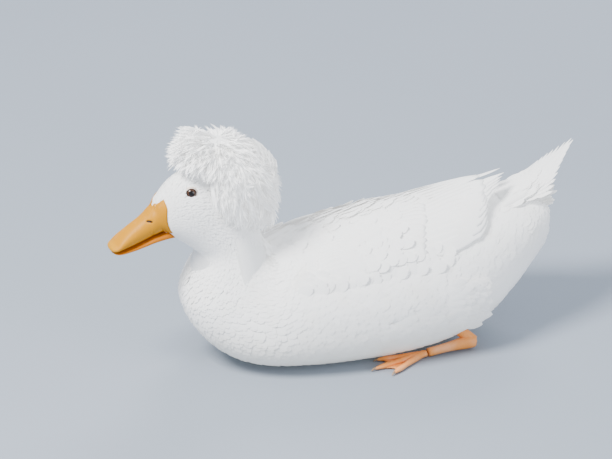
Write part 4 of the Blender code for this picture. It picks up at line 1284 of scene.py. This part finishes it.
lid_grain = lid.noise(lid.coordinates(), 1400.0, 2.0)
lid_finish = lid.feed(
    Base_Color=lid.blend(lid_grain, (0.62, 0.50, 0.42), (0.80, 0.72, 0.64)),
    Normal=lid.bump(lid_grain, 0.3, 0.0002),
)
lid_along = unit(np.cross(EYE_OUTWARD, (0, 0, 1.0)))
lid_above = np.cross(lid_along, EYE_OUTWARD)
turn = np.arange(LID_COLUMNS) * 2 * np.pi / LID_COLUMNS
pinch = 1 + 0.06 * np.cos(2 * turn) ** 2
spoke = lid_along * (np.cos(turn) * LID_HALF_LENGTH * pinch)[:, None]
spoke = spoke + lid_above * (np.sin(turn) * LID_HALF_HEIGHT)[:, None]
inner = np.minimum(np.linalg.norm(spoke, axis=-1), EYE_RADIUS * 0.97)
level = np.sqrt(EYE_RADIUS ** 2 - inner ** 2)
for word, flip in SIDES:
    points = (EYE_CENTRE + ball_ways(33, 48) * EYE_RADIUS) * flip
    ball = merged(mesh_piece("eyeball_" + word, points, grid_faces(33, 48), eye_finish))
    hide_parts("eye_" + word)
    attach(ball, "root")
    rings = [
        EYE_CENTRE + spoke * out + EYE_OUTWARD * (level + rise)[:, None] for out, rise in LID_RINGS
    ]
    points = (np.array(rings + [rings[0]]) * flip).reshape(-1, 3)
    lids = mesh_piece("lids_" + word, points, grid_faces(len(rings) + 1, LID_COLUMNS), lid_finish)
    merged(lids, FINE)
    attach(lids, "root")
print("eyes and lids made")

# %% [markdown]
# Both legs are folded under the belly and the feet lie flat, where the body's weight would press on
# them. Each foot has three long toes with a web between them, a small claw on each, and scaly skin.

# %% The legs and feet


def tube_points(line, radii, steps, around, flat, knots=0.0):
    """A closed tube along a smooth line, with its own radius at each place."""
    smooth = finer(np.column_stack([line, radii]), steps)
    centre, radius = smooth[:, :3], np.maximum(smooth[:, 3], 0.0004)
    radius = radius * (1 + knots * np.cos(np.linspace(0, 6 * np.pi, len(radius))))
    ahead = unit(np.gradient(centre, axis=0))
    side = unit(np.cross(ahead, (0, 0, 1.0)))
    up = np.cross(side, ahead)
    angle = np.arange(around) * 2 * np.pi / around
    ring = side[:, None] * np.cos(angle)[:, None] + up[:, None] * (np.sin(angle) * flat)[:, None]
    points = centre[:, None] + ring * radius[:, None, None]
    ends = centre[[0, -1]][:, None].repeat(around, 1)
    return np.concatenate([ends[:1], points, ends[1:]])


def tubes(name, parts, finish, flip):
    """Several closed tubes as one piece."""
    points, faces, start = [], [], 0
    for part in parts:
        rows, columns = part.shape[:2]
        points.append(np.maximum(part, (-9, -9, 0.0001)).reshape(-1, 3) * flip)
        faces.append(grid_faces(rows, columns) + start)
        start += rows * columns
    return merged(mesh_piece(name, np.concatenate(points), np.concatenate(faces), finish), FINE)


HIP = np.array((0.052, 0.086, 0.045))
HEEL = np.array((0.0660, 0.1220, 0.0095))
TOE_JOINT = np.array((0.0690, 0.0700, 0.0055))
TOE_START = TOE_JOINT + (0, -0.0060, -0.0012)
TOE_TIPS = np.array(((0.0620, 0.0170, 0.0030), (0.0820, 0.0070, 0.0030), (0.0980, 0.0230, 0.0030)))
SHANK = (HEEL + (0, 0.005, 0), HEEL, (HEEL + TOE_JOINT) / 2, TOE_JOINT + (0, 0.002, 0))
THIGH = (HEEL + (0, 0.002, 0), (HEEL + HIP) / 2, HIP)
HIND_TOE = TOE_JOINT + ((-0.003, 0.004, 0.0), (-0.008, 0.010, -0.001), (-0.012, 0.016, -0.002))
WEB_ROWS, WEB_COLUMNS = 14, 11
foot = Recipe("foot_skin", Roughness=0.52)
where = foot.coordinates()
scales = foot.node("ShaderNodeTexVoronoi", None, (), Vector=where, Scale=520.0)
blush = foot.noise(where, 60.0, 2.0)
foot_finish = foot.feed(
    Base_Color=foot.blend(foot.step(blush, 0.35, 0.7), (0.84, 0.30, 0.055), (0.86, 0.38, 0.16)),
    Normal=foot.bump(scales, 0.45, 0.0005),
)
claw = Recipe("claw_horn", Roughness=0.4)
claw_grain = claw.noise(claw.coordinates(), 500.0)
claw_finish = claw.feed(Base_Color=claw.blend(claw_grain, (0.20, 0.12, 0.07), (0.42, 0.28, 0.17)))


def toe_line(tip):
    """The line of a toe: a little behind its start, along the floor, and short of its claw."""
    onward = [TOE_START + (tip - TOE_START) * share for share in (0.55, 0.84, 0.985)]
    return [TOE_START + (0, 0.006, 0.0006), TOE_START] + onward


def claw_line(tip):
    way = unit(tip - TOE_START)
    return (tip - way * 0.0035, tip + way * 0.0005, tip + way * 0.0034 - (0, 0, 0.0018))


def web_between(first, second):
    """A web of skin from toe to toe, hollow along its front edge."""
    along, across = np.meshgrid(
        np.linspace(0.04, 0.86, WEB_ROWS), np.linspace(0, 1, WEB_COLUMNS), indexing="ij"
    )
    reach = along * (1 - 0.13 * np.sin(np.pi * across))
    far_side = first + (second - first) * across[..., None]
    web = TOE_START + (far_side - TOE_START) * reach[..., None]
    web[..., 2] = 0.0024 + 0.0003 * np.cos(across * 12 * np.pi)
    return web


for word, flip in SIDES:
    shank = tube_points(SHANK, (0.0030, 0.0072, 0.0050, 0.0046), 10, 24, 1.0)
    thigh = tube_points(THIGH, (0.0058, 0.0062, 0.0072), 8, 24, 1.0)
    leg = tubes("leg_skin_" + word, (shank, thigh), foot_finish, flip)
    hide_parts("leg_" + word)
    toes = [
        tube_points(toe_line(tip), (0.0036, 0.0042, 0.0033, 0.0028, 0.0013), 9, 18, 0.85, 0.06)
        for tip in TOE_TIPS
    ]
    toes.append(tube_points(HIND_TOE, (0.0026, 0.0022, 0.0012), 8, 14, 0.9))
    claws = [tube_points(claw_line(tip), (0.0014, 0.0012, 0.0004), 6, 10, 1.0) for tip in TOE_TIPS]
    skin_foot = tubes("foot_skin_" + word, toes, foot_finish, flip)
    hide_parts("foot_" + word)
    for k in range(2):
        web = web_between(TOE_TIPS[k], TOE_TIPS[k + 1])
        under = web * (1, 1, 0) + (0, 0, 0.0012)
        points = np.concatenate([web.reshape(-1, 3), under.reshape(-1, 3)]) * flip
        faces = plate_faces(WEB_ROWS, WEB_COLUMNS)
        piece = facing_out(mesh_piece(f"web_{word}_{k}", points, faces, foot_finish))
        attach(piece, "root")
    talons = tubes("claws_" + word, claws, claw_finish, flip)
    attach(talons, "root")
    for piece in (leg, skin_foot):
        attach(piece, "root")
print("legs and feet made")

# %% [markdown]
# The duck rests on a plain pale floor under soft studio lamps. The camera stands far off with a long
# lens, a little above the duck and to its left.

# %% Floor, light and camera
floor_recipe = Recipe("pale_floor", Roughness=0.9)
floor_cloud = floor_recipe.noise(floor_recipe.coordinates(), 3.0, 2.0)
floor_colour = floor_recipe.blend(floor_cloud, (0.27, 0.31, 0.37), (0.29, 0.33, 0.39))
floor_finish = floor_recipe.feed(Base_Color=floor_colour)
floor = mesh_piece("floor", ((-6, -6, 0), (6, -6, 0), (6, 6, 0), (-6, 6, 0)), ((0, 1, 2, 3),), floor_finish)


LIT_PLACE = Vector((0, 0, 0.1))


def soft_light(name, place, size, power, colour):
    """A round lamp that looks at the middle of the duck."""
    lamp = bpy.data.lights.new(name, "AREA")
    lamp.shape = "DISK"
    lamp.size, lamp.energy, lamp.color = size, power, colour
    holder = bpy.data.objects.new(name, lamp)
    holder.location = place
    holder.rotation_euler = (LIT_PLACE - Vector(place)).to_track_quat("-Z", "Y").to_euler()
    bpy.context.scene.collection.objects.link(holder)


soft_light("key", (0.6, -1.5, 2.1), 1.0, 150, (1.0, 0.985, 0.96))
soft_light("fill", (2.2, 1.4, 1.2), 1.8, 40, (0.93, 0.96, 1.0))
soft_light("rim", (-1.8, 1.2, 1.6), 1.2, 45, (0.97, 0.98, 1.0))
world = bpy.data.worlds.new("studio")
world.use_nodes = True
sky = world.node_tree.nodes["Background"].inputs
sky["Color"].default_value = (0.80, 0.86, 0.95, 1)
sky["Strength"].default_value = 0.95
bpy.context.scene.world = world

# The camera's direction, the real size of a pixel at the duck, and how many pixels the view's middle
# lies right of and above a point inside the duck's body.
AZIMUTH, ELEVATION = math.radians(70), math.radians(25)
PIXEL = 0.00105
VIEW_WIDTH = 612
VIEW_RIGHT, VIEW_ABOVE = -35, 59.5
POINT_HEIGHT = 0.060
LENS, SENSOR = 600.0, 36.0
right = Vector((math.cos(AZIMUTH), math.sin(AZIMUTH), 0))
level_back = Vector((math.sin(AZIMUTH), -math.cos(AZIMUTH), 0))
back = level_back * math.cos(ELEVATION) + Vector((0, 0, math.sin(ELEVATION)))
above = back.cross(right)
target = Vector((0, 0, POINT_HEIGHT)) + right * (VIEW_RIGHT * PIXEL) + above * (VIEW_ABOVE * PIXEL)
camera_data = bpy.data.cameras.new("camera")
camera_data.lens = LENS
camera_data.sensor_width = SENSOR
camera = bpy.data.objects.new("camera", camera_data)
camera.location = target + back * (VIEW_WIDTH * PIXEL * LENS / SENSOR)
camera.rotation_euler = (-back).to_track_quat("-Z", "Y").to_euler()
bpy.context.scene.collection.objects.link(camera)
bpy.context.scene.camera = camera
print("camera", [round(c, 3) for c in camera.location])

# %% [markdown]
# Last comes the tidying up of the templates.

# %% Close
for template in templates:
    bpy.data.objects.remove(template)
